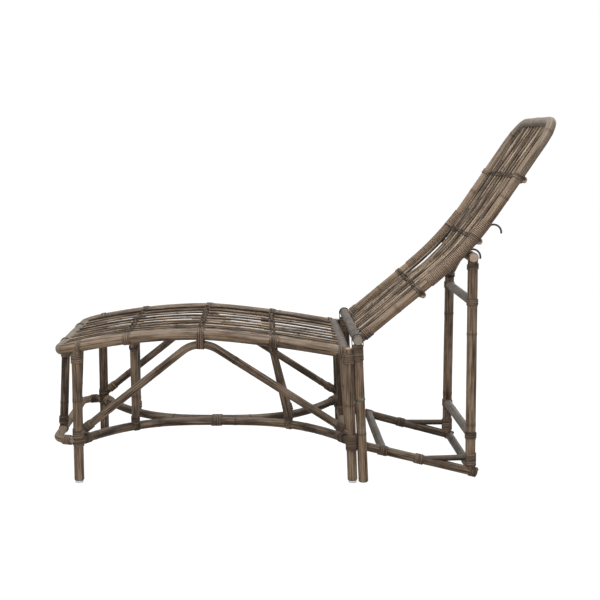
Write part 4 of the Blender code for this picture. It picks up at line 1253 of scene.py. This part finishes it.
# Floor, light and camera
# A plain pale floor before a white background. It takes the shadow, but for the camera it glows so white that
# hardly any shows. Soft light comes from all sides, and the camera has the view of the photograph.
CAMERA_PLACE = (0.0153, -3.45, 1.02)
CAMERA_PITCH = math.radians(8.224)
CAMERA_LENS = 64.94
CAMERA_SHIFT_X = 0.0641
FLOOR_REACH = 14.0
FLOOR_SHADE = 0.50
FLOOR_GLOW = 1.30
FLOOR_GLOW_SHARE = 0.75
ROOM_LIGHT = 0.15


def seen_by_camera(tree):
    """1 for what the camera sees, straight or in a gloss or through glass, and 0 for light on the object."""
    rays = add(tree, "ShaderNodeLightPath").outputs
    seen = sums(tree, "MAXIMUM", rays["Is Camera Ray"], rays["Is Glossy Ray"])
    return sums(tree, "MAXIMUM", seen, rays["Is Transmission Ray"])


floor_mesh = bpy.data.meshes.new("floor")
corners = [(FLOOR_REACH * x, FLOOR_REACH * y, 0.0) for x, y in ((-1, -1), (1, -1), (1, 1), (-1, 1))]
floor_mesh.from_pydata(corners, [], [(0, 1, 2, 3)])
floor = shown("floor", floor_mesh)
pale_floor, tree, shader = new_finish("pale_floor")
shader.inputs["Base Color"].default_value = (FLOOR_SHADE, FLOOR_SHADE, FLOOR_SHADE, 1)
shader.inputs["Roughness"].default_value = 0.9
glow = add(tree, "ShaderNodeEmission", {"Color": (1, 1, 1, 1), "Strength": FLOOR_GLOW})
mix = add(tree, "ShaderNodeMixShader", {0: sums(tree, "MULTIPLY", seen_by_camera(tree), FLOOR_GLOW_SHARE)})
tree.links.new(shader.outputs[0], mix.inputs[1])
tree.links.new(glow.outputs[0], mix.inputs[2])
tree.links.new(mix.outputs[0], tree.nodes["Material Output"].inputs[0])
floor_mesh.materials.append(pale_floor)

world = bpy.data.worlds.new("studio")
bpy.context.scene.world = world
world.use_nodes = True
tree = world.node_tree
strength = sums(tree, "MULTIPLY_ADD", seen_by_camera(tree), 1 - ROOM_LIGHT, ROOM_LIGHT)
background = tree.nodes["Background"]
background.inputs["Color"].default_value = (1, 1, 1, 1)
tree.links.new(strength, background.inputs["Strength"])


def soft_light(name, place, aim, size, power):
    """A square lamp of a given size, turned towards a point."""
    lamp = bpy.data.lights.new(name, "AREA")
    lamp.shape = "SQUARE"
    lamp.size = size
    lamp.energy = power
    obj = shown(name, lamp)
    obj.location = place
    obj.rotation_euler = (Vector(aim) - Vector(place)).to_track_quat("-Z", "Y").to_euler()


soft_light("overhead", place=(-0.2, -0.7, 3.2), aim=(0, 0, 0.3), size=1.8, power=98.0)
soft_light("front", place=(-1.6, -3.2, 1.9), aim=(0, 0, 0.4), size=1.6, power=58.0)
soft_light("side", place=(2.6, -2.4, 1.0), aim=(0.3, 0, 0.6), size=1.6, power=16.0)
soft_light("behind", place=(2.1, 2.6, 1.9), aim=(0, 0, 0.4), size=1.8, power=50.0)

camera = shown("camera", bpy.data.cameras.new("camera"))
camera.location = at(*CAMERA_PLACE)
camera.rotation_euler = (math.pi / 2 - CAMERA_PITCH, 0, 0)
camera.data.sensor_width = 36.0
camera.data.lens = CAMERA_LENS
camera.data.shift_x = CAMERA_SHIFT_X
bpy.context.scene.camera = camera
bpy.context.scene.view_settings.view_transform = "Standard"
